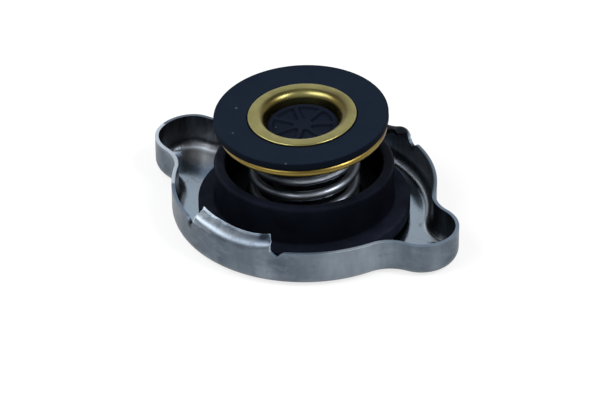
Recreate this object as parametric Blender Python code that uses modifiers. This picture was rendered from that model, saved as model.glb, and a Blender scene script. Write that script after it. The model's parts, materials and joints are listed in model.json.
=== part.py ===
"""Radiator pressure cap, resting on its crown with the valve pointing up.

The origin is on the cap's axis at the outer face of the crown. +Z runs up the axis and +X runs
through one of the two ears. The sizes below are in millimetres and are turned to metres by MM.
"""

import math

import bmesh
import bpy
from mathutils import Matrix, Vector

MM = 0.001

# Fits between pieces
SEAT_GAP = 0.05
RUN_GAP = 0.15

# Pressed shell: crown, skirt, two ears. The -X ear is bent up a little, as found
SHELL_SHEET = 0.65
BODY_RADIUS = 24.1
EAR_REACH = 32.1
EAR_RADIUS = 6.8
EAR_FILLET_SHARE = 0.75
EAR_LIFT = 0.5
EAR_LOW_RIM = 0.3
RIM_HEIGHT = 7.1
CROWN_BEND = 2.5
RECESS_RADIUS = 5.2
RECESS_SLOPE = 1.2
RECESS_DEPTH = 0.9

# Locking tabs folded in from the skirt; their middles sag between the curled-up corners
TAB_HALF_ANGLE = 20.2
TAB_WIDTH = 2.85
TAB_END_TOP = 9.2
FRONT_TAB_TOP = 8.95
BACK_TAB_TOP = 8.0
TAB_BEND = 1.5
TAB_END_BEND = 1.15
TAB_EDGE_DROP = 0.45
TAB_LEVEL_SHARE = 0.25
TAB_SPLAY = {1: -0.08, -1: 0.11}

# Relief notch at each end of a tab, as angles from the tab's end
NOTCH_ANGLE = 7.0
NOTCH_LOW_ANGLE = 3.1
NOTCH_BOTTOM = 6.1
NOTCH_TAB_SIDE = 1.1

# Rivet that carries the insert and holds the valve cage
SHANK_RADIUS = 1.9
CROWN_HEAD_RADIUS = 3.8
CROWN_HEAD_THICKNESS = 0.6
SHOULDER_RADIUS = 3.3
SHOULDER_THICKNESS = 0.4
PIN_RADIUS = 1.6
STOP_HEAD_RADIUS = 4.0
STOP_HEAD_THICKNESS = 1.2
STOP_HEIGHT = 7.9

# Dished spring disc behind the neck gasket
DISC_SHEET = 0.4
DISC_RADIUS = 17.8
DISC_DIP = 0.4
DISC_FLAT_RADIUS = 7.2

# Rubber neck gasket with its tall collar
FLANGE_RADIUS = 19.3
FLANGE_THICKNESS = 1.7
COLLAR_RADIUS = 16.35
COLLAR_WALL = 2.1
COLLAR_HEIGHT = 11.4
COLLAR_FOOT_FILLET = 0.5
LIP_ROUND = 0.8
CLAMPED_LIP_THICKNESS = 1.5

# Stepped steel seat under the main spring
SEAT_SHEET = 0.7
SEAT_STEP_WIDTH = 0.8
SEAT_SPRING_CLEARANCE = 0.35

# Main spring
SPRING_OUTER_RADIUS = 10.1
SPRING_WIRE_RADIUS = 0.9
SPRING_CLOSED_TURNS = 0.9
SPRING_ACTIVE_TURNS = 3.25
SPRING_FOOT_ANGLE = 240.0

# Valve stack, measured along its own axis from the underside of the rivet's stop head
VALVE_HEIGHT = 13.35
GASKET_RADIUS = 15.75
GASKET_THICKNESS = 1.3
GASKET_BORE = 8.8
GASKET_OFFSET = 0.66
GASKET_OFFSET_TOWARD = 145.0
PLATE_RADIUS = 15.2
PLATE_SHEET = 0.8
PLATE_BEAD = 1.5
EYELET_RADIUS = 9.8
EYELET_SHEET = 0.45
EYELET_BEND = 1.45
EYELET_STANDS = 0.3
THROAT_RADIUS = 6.85
VALVE_LEAN = 3.5
VALVE_LEAN_TOWARD = 255.0
VALVE_SHIFT = 0.3
VALVE_SHIFT_TOWARD = 35.0

# Cage that hangs from the plate and hooks under the stop head
CAGE_SHEET = 0.5
CAGE_WALL_RADIUS = 6.1
CAGE_LIP = 0.42
CAGE_FLOOR_HOLE = 2.7
CAGE_HEAD_GAP = 0.35
CAGE_WINDOWS = 4
CAGE_WINDOW_WIDTH = 4.4
CAGE_WINDOW_LOW = 1.6
CAGE_WINDOW_HIGH = 6.4

# Vacuum valve in the throat
VACUUM_RECESS = 2.2
VACUUM_RADIUS = 6.4
VACUUM_THICKNESS = 1.9
POCKETS = 7
POCKET_DEPTH = 0.55
POCKET_INNER = 1.7
POCKET_OUTER = 5.5
POCKET_RIB = 0.75
POCKET_PHASE = 35.2
VACUUM_SEAT_SHEET = 0.5
FLOW_HOLES = 6
FLOW_HOLE_RADIUS = 0.85
FLOW_HOLE_CIRCLE = 3.9
FLOW_HOLE_PHASE = 23.0
STEM_RADIUS = 0.7
STEM_HEAD_RADIUS = 1.25
STEM_HEAD_THICKNESS = 0.6
STEM_END_RADIUS = 1.05
STEM_END_THICKNESS = 0.4
KEEPER_RADIUS = 2.6
KEEPER_SHEET = 0.4
VACUUM_SPRING_LENGTH = 3.3
VACUUM_SPRING_RADIUS = 2.3
VACUUM_WIRE_RADIUS = 0.16
VACUUM_SPRING_TURNS = 5.0

# Fineness of the curves
TURN_STEPS = 36
SMALL_TURN_STEPS = 32
PIN_TURN_STEPS = 24
COIL_STEPS = 16
FINE_COIL_STEPS = 10
EAR_STEPS = 10
FILLET_STEPS = 4
SIDE_STEPS = 5
NOTCH_SHARES = (1.0, 0.82, 0.63, 0.443, 0.22)
TAB_STEPS = 8
BEND_STEPS = 4
EDGE_STEPS = 3
DISH_STEPS = 4

# The bends beside an ear grow with how far it stands out, so that the outline never folds back
EAR_FILLET = EAR_FILLET_SHARE * (EAR_REACH - BODY_RADIUS)

# Heights that follow from the stack, from the crown up
BOSS_TOP = RECESS_DEPTH + SHELL_SHEET
DISC_BOTTOM = BOSS_TOP + SEAT_GAP
STACK_LEVEL = DISC_BOTTOM + DISC_SHEET + SEAT_GAP
FLANGE_TOP = STACK_LEVEL + FLANGE_THICKNESS
SEAT_TOP = STACK_LEVEL + SEAT_SHEET
SPRING_FOOT = SEAT_TOP + SEAT_GAP
COLLAR_INNER = COLLAR_RADIUS - COLLAR_WALL

# Heights along the valve's own axis
GASKET_BOTTOM = VALVE_HEIGHT - GASKET_THICKNESS
PLATE_TOP = GASKET_BOTTOM - SEAT_GAP
PLATE_UNDERSIDE = PLATE_TOP - PLATE_SHEET
EYELET_TOP = VALVE_HEIGHT + EYELET_STANDS
EYELET_TUBE_RADIUS = THROAT_RADIUS + EYELET_SHEET
BORE_RADIUS = EYELET_TUBE_RADIUS + SEAT_GAP
VACUUM_TOP = EYELET_TOP - VACUUM_RECESS
VACUUM_BOTTOM = VACUUM_TOP - VACUUM_THICKNESS
VACUUM_SEAT_TOP = VACUUM_BOTTOM - SEAT_GAP
VACUUM_SEAT_BOTTOM = VACUUM_SEAT_TOP - VACUUM_SEAT_SHEET
LEDGE_TOP = VACUUM_SEAT_BOTTOM - SEAT_GAP
KEEPER_TOP = VACUUM_SEAT_BOTTOM - VACUUM_SPRING_LENGTH
CAGE_FLOOR_TOP = -CAGE_HEAD_GAP
CAGE_TOP = PLATE_UNDERSIDE - SEAT_GAP


def remove_all_objects():
    for item in list(bpy.data.objects):
        bpy.data.objects.remove(item, do_unlink=True)


def new_collection(name):
    collection = bpy.data.collections.new(name)
    bpy.context.scene.collection.children.link(collection)
    return collection


def metal(name, color, roughness):
    return material(name, color, roughness, 1.0)


def material(name, color, roughness, metallic=0.0):
    finish = bpy.data.materials.new(name)
    finish.use_nodes = True
    shader = finish.node_tree.nodes["Principled BSDF"]
    shader.inputs["Base Color"].default_value = (*color, 1.0)
    shader.inputs["Roughness"].default_value = roughness
    shader.inputs["Metallic"].default_value = metallic
    finish.diffuse_color = (*color, 1.0)
    return finish


def add_object(name, mesh, finish, collection, parent=None):
    item = bpy.data.objects.new(name, mesh)
    collection.objects.link(item)
    if finish is not None:
        mesh.materials.append(finish)
    item.parent = parent
    return item


def add_empty(name, collection, matrix=None, parent=None):
    item = bpy.data.objects.new(name, None)
    item.empty_display_size = 5 * MM
    collection.objects.link(item)
    item.parent = parent
    if matrix is not None:
        item.matrix_local = matrix
    return item


def polar(radius, degrees):
    angle = math.radians(degrees)
    return Vector((radius * math.cos(angle), radius * math.sin(angle)))


def arc(center_r, center_z, radius, start, end, steps=BEND_STEPS):
    """Points of an arc in the profile plane. Angles are in degrees from +r towards +z."""
    points = []
    for i in range(steps + 1):
        point = polar(radius, start + (end - start) * i / steps)
        points.append((center_r + point.x, center_z + point.y))
    return points


def turned(name, profile, finish, collection, parent=None, steps=TURN_STEPS, closed=True):
    """A turned piece. The profile runs down its outer side; it is a loop unless it meets the axis."""
    mesh = bpy.data.meshes.new(name)
    count = len(profile)
    edges = [(i, i + 1) for i in range(count - 1)]
    if closed:
        edges.append((count - 1, 0))
    mesh.from_pydata([(r * MM, 0.0, z * MM) for r, z in profile], edges, [])
    item = add_object(name, mesh, finish, collection, parent)
    screw = item.modifiers.new("Turn", "SCREW")
    screw.axis = "Z"
    screw.steps = steps
    screw.render_steps = steps
    screw.use_merge_vertices = True
    screw.merge_threshold = 0.00001
    screw.use_smooth_shade = False
    return item


def prism_cutter(name, outline, low, high, collection, parent=None):
    """A closed prism over a flat outline in millimetres, used only to cut."""
    mesh = bpy.data.meshes.new(name)
    shape = bmesh.new()
    corners = [shape.verts.new((x * MM, y * MM, low * MM)) for x, y in outline]
    face = shape.faces.new(corners)
    grown = bmesh.ops.extrude_face_region(shape, geom=[face])
    raised = [v for v in grown["geom"] if isinstance(v, bmesh.types.BMVert)]
    bmesh.ops.translate(shape, verts=raised, vec=(0, 0, (high - low) * MM))
    bmesh.ops.recalc_face_normals(shape, faces=shape.faces[:])
    shape.to_mesh(mesh)
    shape.free()
    return hide_cutter(add_object(name, mesh, None, collection, parent))


def round_cutter(name, radius, center, low, high, collection, parent=None):
    outline = [Vector(center) + polar(radius, 360.0 * i / 16) for i in range(16)]
    return prism_cutter(name, outline, low, high, collection, parent)


def hide_cutter(item):
    item.hide_render = True
    item.display_type = "WIRE"
    return item


def cut(item, cutters):
    for cutter in cutters:
        modifier = item.modifiers.new("Cut", "BOOLEAN")
        modifier.operation = "DIFFERENCE"
        modifier.solver = "EXACT"
        modifier.object = cutter


# The shell's outline is three kinds of arc that meet tangentially. An offset inwards keeps every
# centre and changes only the radii, so each level of the press has the same points.


def fillet_center():
    reach = EAR_REACH - EAR_RADIUS
    body = BODY_RADIUS + EAR_FILLET
    ear = EAR_RADIUS + EAR_FILLET
    x = (body**2 - ear**2 + reach**2) / (2 * reach)
    return Vector((x, math.sqrt(body**2 - x**2)))


def quarter_columns():
    """Columns from the tip of the +X ear to the middle of the +Y tab, as (kind, angle) pairs."""
    center = fillet_center()
    reach = EAR_REACH - EAR_RADIUS
    ear_end = math.degrees(math.atan2(center.y, center.x - reach))
    body_start = math.degrees(math.atan2(center.y, center.x))
    columns = [("ear", ear_end * 2 * i / EAR_STEPS) for i in range(EAR_STEPS // 2 + 1)]
    fillet_start = ear_end - 180.0
    fillet_end = body_start - 180.0
    for i in range(1, FILLET_STEPS):
        columns.append(("fillet", fillet_start + (fillet_end - fillet_start) * i / FILLET_STEPS))
    tab_start = 90.0 - TAB_HALF_ANGLE
    notch_start = tab_start - NOTCH_ANGLE
    for i in range(SIDE_STEPS):
        columns.append(("side", body_start + (notch_start - body_start) * i / SIDE_STEPS))
    for share in NOTCH_SHARES:
        columns.append(("notch", tab_start - NOTCH_ANGLE * share))
    for i in range(TAB_STEPS // 2 + 1):
        columns.append(("tab", tab_start + TAB_HALF_ANGLE * 2 * i / TAB_STEPS))
    return columns


def outline_point(kind, angle, offset):
    """A point of the first quarter's outline, offset inwards."""
    if kind == "ear":
        return Vector((EAR_REACH - EAR_RADIUS, 0)) + polar(EAR_RADIUS - offset, angle)
    if kind == "fillet":
        return fillet_center() + polar(EAR_FILLET + offset, angle)
    return polar(BODY_RADIUS - offset, angle)


def notch_height(angle):
    """A notch falls straight from the tab's end and rises in a rounded shoulder to the rim."""
    from_tab = 90.0 - TAB_HALF_ANGLE - angle
    if from_tab < NOTCH_LOW_ANGLE:
        return NOTCH_BOTTOM + NOTCH_TAB_SIDE * (1.0 - from_tab / NOTCH_LOW_ANGLE)
    share = (from_tab - NOTCH_LOW_ANGLE) / (NOTCH_ANGLE - NOTCH_LOW_ANGLE)
    return NOTCH_BOTTOM + (RIM_HEIGHT - NOTCH_BOTTOM) * math.sin(math.pi / 2 * share)


def ear_share(x):
    """How far a point has come out along an ear, smoothly from 0 at the body to 1."""
    share = min(max((abs(x) - 0.8 * BODY_RADIUS) / (0.4 * BODY_RADIUS), 0.0), 1.0)
    return share * share * (3.0 - 2.0 * share)


def press_rows(kind, angle, side, tab_top):
    """One column of the pressed sheet's outer face, from the rivet hole to the rim or tab edge."""
    crown = outline_point(kind, angle, CROWN_BEND)
    toward = crown.normalized()
    rows = [(toward * (SHANK_RADIUS + RUN_GAP), RECESS_DEPTH)]
    rows.append((toward * RECESS_RADIUS, RECESS_DEPTH))
    for share in (0.3, 0.7, 1.0):
        height = RECESS_DEPTH * (0.5 + 0.5 * math.cos(math.pi * share))
        rows.append((toward * (RECESS_RADIUS + RECESS_SLOPE * share), height))
    for i in range(BEND_STEPS + 1):
        turn = math.pi / 2 * i / BEND_STEPS
        offset = CROWN_BEND * (1 - math.sin(turn))
        rows.append((outline_point(kind, angle, offset), CROWN_BEND * (1 - math.cos(turn))))
    if kind == "tab":
        return rows + fold_rows(angle, side, tab_top)
    rim = outline_point(kind, angle, 0)
    height = notch_height(angle) if kind == "notch" else RIM_HEIGHT
    if side > 0:
        height -= EAR_LOW_RIM * ear_share(rim.x)
    return rows + [(rim, height)]


def fold_rows(angle, side, tab_top):
    """A tab's column above the crown: up the wall, over the bend and inwards along the shelf."""
    from_middle = 90.0 - angle
    rise = max(0.0, from_middle / TAB_HALF_ANGLE - TAB_LEVEL_SHARE) / (1.0 - TAB_LEVEL_SHARE)
    rise *= rise
    top = tab_top + (TAB_END_TOP - tab_top) * rise
    bend = TAB_BEND + (TAB_END_BEND - TAB_BEND) * rise
    edge = top - TAB_EDGE_DROP * (1.0 - rise)
    wall = min(NOTCH_BOTTOM + NOTCH_TAB_SIDE, top - bend - 0.2)
    rows = [(outline_point("tab", angle, 0), wall)]
    for i in range(BEND_STEPS + 1):
        turn = math.pi / 2 * i / BEND_STEPS
        offset = bend * (1 - math.cos(turn))
        rows.append((outline_point("tab", angle, offset), top - bend * (1 - math.sin(turn))))
    for share in (0.5, 1.0):
        offset = bend + (TAB_WIDTH - bend) * share
        turned_by = TAB_SPLAY[side] * from_middle * share
        rows.append((outline_point("tab", angle - turned_by, offset), edge))
    return rows


def placed(rows, x_side, y_side):
    """A first-quarter column carried to its quarter, with the -X ear lifted."""
    column = []
    for point, height in rows:
        lift = EAR_LIFT * ear_share(point.x) if x_side < 0 else 0.0
        column.append((point.x * x_side, point.y * y_side, height + lift))
    return column


def all_columns():
    """The outline's columns, anticlockwise from the tip of the +X ear, without doubles."""
    quarter = quarter_columns()
    back = quarter[:-1]
    columns = []
    for x_side, y_side in ((1, 1), (-1, 1), (-1, -1), (1, -1)):
        tab_top = BACK_TAB_TOP if y_side > 0 else FRONT_TAB_TOP
        outward = back if x_side * y_side > 0 else list(reversed(quarter[1:]))
        for kind, angle in outward:
            columns.append(placed(press_rows(kind, angle, x_side, tab_top), x_side, y_side))
    return columns


def make_shell(finish, collection):
    columns = all_columns()
    shape = bmesh.new()
    grid = [[shape.verts.new(Vector(point) * MM) for point in column] for column in columns]
    for i, column in enumerate(grid):
        following = grid[(i + 1) % len(grid)]
        for k in range(min(len(column), len(following)) - 1):
            shape.faces.new((column[k], following[k], following[k + 1], column[k + 1]))
    mesh = bpy.data.meshes.new("shell")
    shape.to_mesh(mesh)
    shape.free()
    item = add_object("shell", mesh, finish, collection)
    wall = item.modifiers.new("Sheet", "SOLIDIFY")
    wall.thickness = SHELL_SHEET * MM
    wall.offset = -1.0
    wall.use_even_offset = True


def make_rivet(finish, collection, parent):
    head_top = RECESS_DEPTH - RUN_GAP
    head_bottom = head_top - CROWN_HEAD_THICKNESS
    shoulder_bottom = SEAT_TOP + SEAT_GAP
    shoulder_top = shoulder_bottom + SHOULDER_THICKNESS
    stop_top = STOP_HEIGHT + STOP_HEAD_THICKNESS
    round_over = STOP_HEAD_THICKNESS / 2
    profile = [(0.0, stop_top)]
    profile += arc(STOP_HEAD_RADIUS - round_over, stop_top - round_over, round_over, 90, 0)
    profile += [
        (STOP_HEAD_RADIUS, STOP_HEIGHT),
        (PIN_RADIUS, STOP_HEIGHT),
        (PIN_RADIUS, shoulder_top),
        (SHOULDER_RADIUS, shoulder_top),
        (SHOULDER_RADIUS, shoulder_bottom),
        (SHANK_RADIUS, shoulder_bottom),
        (SHANK_RADIUS, head_top),
        (CROWN_HEAD_RADIUS, head_top),
        (CROWN_HEAD_RADIUS, head_bottom + CROWN_HEAD_THICKNESS / 2),
        (CROWN_HEAD_RADIUS * 0.85, head_bottom),
        (0.0, head_bottom),
    ]
    turned("centre_rivet", profile, finish, collection, parent, PIN_TURN_STEPS, closed=False)


def make_spring_disc(finish, collection, parent):
    """A corrugated disc: level where it is clamped and at its rim, with one ring pressed down."""
    top = []
    span = DISC_RADIUS - DISC_FLAT_RADIUS
    for i in range(DISH_STEPS + 1):
        share = i / DISH_STEPS
        dip = DISC_DIP * math.sin(math.pi * share) ** 2
        top.append((DISC_FLAT_RADIUS + span * share, DISC_BOTTOM + DISC_SHEET - dip))
    top.insert(0, (SHANK_RADIUS + SEAT_GAP, DISC_BOTTOM + DISC_SHEET))
    bottom = [(r, z - DISC_SHEET) for r, z in reversed(top)]
    turned("spring_disc", top + bottom, finish, collection, parent)


def make_neck_gasket(finish, collection, parent):
    """One rubber moulding: a flange that seals the filler neck and a tall collar round the spring."""
    lip_bore = seat_step_radius() + SEAT_STEP_WIDTH + SEAT_GAP
    edge_round = FLANGE_THICKNESS / 5
    profile = arc(COLLAR_RADIUS - LIP_ROUND, COLLAR_HEIGHT - LIP_ROUND, LIP_ROUND, 90, 0, EDGE_STEPS)
    fillet_r = COLLAR_RADIUS + COLLAR_FOOT_FILLET
    fillet_z = FLANGE_TOP + COLLAR_FOOT_FILLET
    profile += arc(fillet_r, fillet_z, COLLAR_FOOT_FILLET, 180, 270, 3)
    profile += arc(FLANGE_RADIUS - edge_round, FLANGE_TOP - edge_round, edge_round, 90, 0, 2)
    profile += arc(FLANGE_RADIUS - edge_round, STACK_LEVEL + edge_round, edge_round, 0, -90, 2)
    profile += [
        (lip_bore, STACK_LEVEL),
        (lip_bore, STACK_LEVEL + CLAMPED_LIP_THICKNESS),
        (COLLAR_INNER, STACK_LEVEL + CLAMPED_LIP_THICKNESS),
    ]
    profile += arc(COLLAR_INNER + LIP_ROUND, COLLAR_HEIGHT - LIP_ROUND, LIP_ROUND, 180, 90, EDGE_STEPS)
    turned("neck_gasket", profile, finish, collection, parent)


def seat_step_radius():
    return SPRING_OUTER_RADIUS + SEAT_SPRING_CLEARANCE


def make_spring_seat(finish, collection, parent):
    """A stepped dish: its floor carries the spring and its brim clamps the gasket's inner lip."""
    step = seat_step_radius()
    brim = STACK_LEVEL + CLAMPED_LIP_THICKNESS + SEAT_GAP
    top = [
        (SHANK_RADIUS + SEAT_GAP, SEAT_TOP),
        (step, SEAT_TOP),
        (step + SEAT_STEP_WIDTH - SEAT_SHEET, SEAT_TOP + 0.2 * SEAT_SHEET),
        (step + SEAT_STEP_WIDTH - SEAT_SHEET, brim + 0.8 * SEAT_SHEET),
        (step + SEAT_STEP_WIDTH, brim + SEAT_SHEET),
        (COLLAR_INNER - RUN_GAP, brim + SEAT_SHEET),
    ]
    bottom = [
        (COLLAR_INNER - RUN_GAP, brim),
        (step + SEAT_STEP_WIDTH, brim),
        (step + SEAT_STEP_WIDTH, STACK_LEVEL + 0.2 * SEAT_SHEET),
        (step + SEAT_STEP_WIDTH - 0.2 * SEAT_SHEET, STACK_LEVEL),
        (SHANK_RADIUS + SEAT_GAP, STACK_LEVEL),
    ]
    turned("spring_seat", top + bottom, finish, collection, parent)


def coil_heights(foot, top, wire, closed_turns, active_turns, steps):
    """Turn angle and height of each point on a coil with closed ends."""
    closed_rise = 2 * wire * 1.03
    total = 2 * closed_turns + active_turns
    active_rise = (top - foot) - 2 * closed_turns * closed_rise
    points = []
    count = int(total * steps)
    for i in range(count + 1):
        turns = total * i / count
        low = min(turns, closed_turns)
        middle = min(max(turns - closed_turns, 0.0), active_turns)
        high = max(turns - closed_turns - active_turns, 0.0)
        height = foot + (low + high) * closed_rise + active_rise * middle / active_turns
        points.append((360.0 * turns, height))
    return points


def coil(name, points, wire, finish, collection, parent):
    curve = bpy.data.curves.new(name, "CURVE")
    curve.dimensions = "3D"
    spline = curve.splines.new("POLY")
    spline.points.add(len(points) - 1)
    for target, point in zip(spline.points, points):
        target.co = (*(point * MM), 1.0)
    curve.bevel_depth = wire * MM
    curve.bevel_resolution = 2
    curve.use_fill_caps = True
    curve.materials.append(finish)
    item = bpy.data.objects.new(name, curve)
    collection.objects.link(item)
    item.parent = parent
    return item


def lean_matrix(share=1.0):
    """The valve's lean and sideways play on its rivet, about the underside of the stop head."""
    toward = polar(1.0, VALVE_LEAN_TOWARD)
    axis = Vector((-toward.y, toward.x, 0.0))
    shift = polar(VALVE_SHIFT * share, VALVE_SHIFT_TOWARD)
    pivot = Matrix.Translation(Vector((shift.x, shift.y, STOP_HEIGHT)) * MM)
    return pivot @ Matrix.Rotation(math.radians(VALVE_LEAN * share), 4, axis)


def make_main_spring(finish, collection, parent):
    """Square on its seat, and leaning more with height until its top coil lies under the plate."""
    foot = SPRING_FOOT + SPRING_WIRE_RADIUS
    top = STOP_HEIGHT + PLATE_UNDERSIDE - SEAT_GAP - SPRING_WIRE_RADIUS
    radius = SPRING_OUTER_RADIUS - SPRING_WIRE_RADIUS
    points = []
    for angle, height in coil_heights(
        foot, top, SPRING_WIRE_RADIUS, SPRING_CLOSED_TURNS, SPRING_ACTIVE_TURNS, COIL_STEPS
    ):
        flat = polar(radius, SPRING_FOOT_ANGLE + angle)
        upright = Vector((flat.x, flat.y, height - STOP_HEIGHT)) * MM
        share = (height - foot) / (top - foot)
        points.append(lean_matrix(share) @ upright / MM)
    coil("main_spring", points, SPRING_WIRE_RADIUS, finish, collection, parent)


def make_valve_plate(finish, collection, parent):
    """A brass plate whose edge is rolled under into a bead."""
    bead = PLATE_BEAD / 2
    center = (PLATE_RADIUS - bead, PLATE_TOP - bead)
    profile = arc(*center, bead, 90, 0, 3) + arc(*center, bead, 0, -90, 3)[1:]
    profile += [
        (PLATE_RADIUS - 2 * bead, PLATE_TOP - PLATE_BEAD + 0.3 * bead),
        (PLATE_RADIUS - 2 * bead, PLATE_UNDERSIDE),
        (BORE_RADIUS, PLATE_UNDERSIDE),
        (BORE_RADIUS, PLATE_TOP),
    ]
    turned("valve_plate", profile, finish, collection, parent)


def make_pressure_gasket(finish, collection, cutters, parent):
    """A rubber washer, a little off centre on its plate, with the eyelet's ring pressed into it."""
    edge = GASKET_THICKNESS / 5
    profile = arc(GASKET_RADIUS - edge, VALVE_HEIGHT - edge, edge, 90, 0, 2)
    profile += arc(GASKET_RADIUS - edge, GASKET_BOTTOM + edge, edge, 0, -90, 2)
    profile += [(GASKET_BORE, GASKET_BOTTOM), (GASKET_BORE, VALVE_HEIGHT)]
    washer = turned("pressure_gasket", profile, finish, collection, parent)
    offset = polar(GASKET_OFFSET, GASKET_OFFSET_TOWARD) * MM
    washer.location = (offset.x, offset.y, 0.0)
    low = EYELET_TOP - EYELET_SHEET - SEAT_GAP
    outline = [polar(EYELET_RADIUS + SEAT_GAP, 360.0 * (i + 0.5) / 48) for i in range(48)]
    press = prism_cutter("eyelet_press", outline, low, EYELET_TOP, cutters, parent)
    cut(washer, [press])


def make_eyelet(finish, collection, parent):
    """A drawn brass eyelet: flat ring, rounded mouth and tube, with a turned-under outer edge."""
    bend_center = (THROAT_RADIUS + EYELET_BEND, EYELET_TOP - EYELET_BEND)
    inner_bend = EYELET_BEND - EYELET_SHEET
    edge = EYELET_SHEET / 2
    profile = arc(EYELET_RADIUS - edge, EYELET_TOP - edge, edge, 90, -90, 2)
    profile += arc(*bend_center, inner_bend, 90, 180, EDGE_STEPS)
    tube_end = VACUUM_SEAT_TOP + SEAT_GAP
    profile += [(EYELET_TUBE_RADIUS, tube_end), (THROAT_RADIUS, tube_end)]
    profile += arc(*bend_center, EYELET_BEND, 180, 90)
    turned("eyelet", profile, finish, collection, parent)


def make_valve_cage(finish, collection, cutters, parent):
    """A stepped cup: lip under the plate, ledge for the vacuum seat, and a holed floor."""
    wide = BORE_RADIUS
    narrow = CAGE_WALL_RADIUS - CAGE_SHEET
    floor = CAGE_FLOOR_TOP
    profile = [
        (wide + CAGE_SHEET + CAGE_LIP, CAGE_TOP),
        (wide + CAGE_SHEET + CAGE_LIP, CAGE_TOP - CAGE_SHEET),
        (wide + CAGE_SHEET, CAGE_TOP - CAGE_SHEET),
        (wide + CAGE_SHEET, LEDGE_TOP - 0.6 * CAGE_SHEET),
        (wide + 0.6 * CAGE_SHEET, LEDGE_TOP - CAGE_SHEET),
        (CAGE_WALL_RADIUS, LEDGE_TOP - CAGE_SHEET),
        (CAGE_WALL_RADIUS, floor - 0.6 * CAGE_SHEET),
        (CAGE_WALL_RADIUS - 0.4 * CAGE_SHEET, floor - CAGE_SHEET),
        (CAGE_FLOOR_HOLE, floor - CAGE_SHEET),
        (CAGE_FLOOR_HOLE, floor),
        (narrow, floor),
        (narrow, LEDGE_TOP),
        (wide, LEDGE_TOP),
        (wide, CAGE_TOP),
    ]
    cage = turned("valve_cage", profile, finish, collection, parent, SMALL_TURN_STEPS)
    reach = CAGE_WALL_RADIUS + CAGE_SHEET
    half = CAGE_WINDOW_WIDTH / 2
    clear = CAGE_FLOOR_HOLE + CAGE_SHEET
    windows = []
    for i in range(CAGE_WINDOWS):
        turn = Matrix.Rotation(2 * math.pi * (i + 0.5) / CAGE_WINDOWS, 2)
        box = [(clear, -half), (reach, -half), (reach, half), (clear, half)]
        outline = [turn @ Vector(corner) for corner in box]
        name = f"cage_window_{i + 1}"
        windows.append(
            prism_cutter(name, outline, CAGE_WINDOW_LOW, CAGE_WINDOW_HIGH, cutters, parent)
        )
    cut(cage, windows)


def pocket_outline():
    """One sunken pocket between two ribs with parallel sides, pointing along +X."""
    half_rib = POCKET_RIB / 2
    half_angle = 180.0 / POCKETS
    outline = []
    for radius, order in ((POCKET_OUTER, 1), (POCKET_INNER, -1)):
        limit = half_angle - math.degrees(math.asin(half_rib / radius))
        for i in range(5):
            outline.append(polar(radius, order * limit * (i / 2 - 1)))
    return outline


def make_vacuum_valve(finish, collection, cutters, parent):
    """A moulded disc with a ring of pockets in its face and a socket for the stem beneath."""
    edge = VACUUM_THICKNESS / 8
    socket_radius = STEM_HEAD_RADIUS + SEAT_GAP
    socket_top = VACUUM_BOTTOM + STEM_HEAD_THICKNESS + SEAT_GAP
    profile = [(0.0, VACUUM_TOP)]
    profile += arc(VACUUM_RADIUS - edge, VACUUM_TOP - edge, edge, 90, 0, 2)
    profile += [
        (VACUUM_RADIUS, VACUUM_BOTTOM),
        (socket_radius, VACUUM_BOTTOM),
        (socket_radius, socket_top),
        (0.0, socket_top),
    ]
    disc = turned("vacuum_valve", profile, finish, collection, parent, SMALL_TURN_STEPS, closed=False)
    pockets = []
    for i in range(POCKETS):
        turn = math.radians(POCKET_PHASE) + 2 * math.pi * (i + 0.5) / POCKETS
        outline = [Matrix.Rotation(turn, 2) @ corner for corner in pocket_outline()]
        low = VACUUM_TOP - POCKET_DEPTH
        name = f"pocket_{i + 1}"
        pockets.append(prism_cutter(name, outline, low, VACUUM_TOP + 1, cutters, parent))
    cut(disc, pockets)


def make_vacuum_seat(finish, collection, cutters, parent):
    """A drilled plate that the vacuum valve closes; the eyelet's tube holds it on the ledge."""
    profile = [
        (EYELET_TUBE_RADIUS, VACUUM_SEAT_TOP),
        (EYELET_TUBE_RADIUS, VACUUM_SEAT_BOTTOM),
        (STEM_RADIUS + RUN_GAP, VACUUM_SEAT_BOTTOM),
        (STEM_RADIUS + RUN_GAP, VACUUM_SEAT_TOP),
    ]
    plate = turned("vacuum_seat", profile, finish, collection, parent, SMALL_TURN_STEPS)
    low = VACUUM_SEAT_BOTTOM - 1
    high = VACUUM_SEAT_TOP + 1
    holes = []
    for i in range(FLOW_HOLES):
        center = polar(FLOW_HOLE_CIRCLE, FLOW_HOLE_PHASE + 360.0 * i / FLOW_HOLES)
        name = f"flow_hole_{i + 1}"
        holes.append(round_cutter(name, FLOW_HOLE_RADIUS, center, low, high, cutters, parent))
    cut(plate, holes)


def make_vacuum_stem(finish, collection, parent):
    head_bottom = VACUUM_BOTTOM
    keeper_bottom = KEEPER_TOP - KEEPER_SHEET
    end_top = keeper_bottom - SEAT_GAP
    profile = [
        (0.0, head_bottom + STEM_HEAD_THICKNESS),
        (STEM_HEAD_RADIUS, head_bottom + STEM_HEAD_THICKNESS),
        (STEM_HEAD_RADIUS, head_bottom),
        (STEM_RADIUS, head_bottom),
        (STEM_RADIUS, end_top),
        (STEM_END_RADIUS, end_top),
        (STEM_END_RADIUS, end_top - STEM_END_THICKNESS / 2),
        (STEM_END_RADIUS / 2, end_top - STEM_END_THICKNESS),
        (0.0, end_top - STEM_END_THICKNESS),
    ]
    turned("vacuum_stem", profile, finish, collection, parent, PIN_TURN_STEPS // 2, closed=False)


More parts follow.
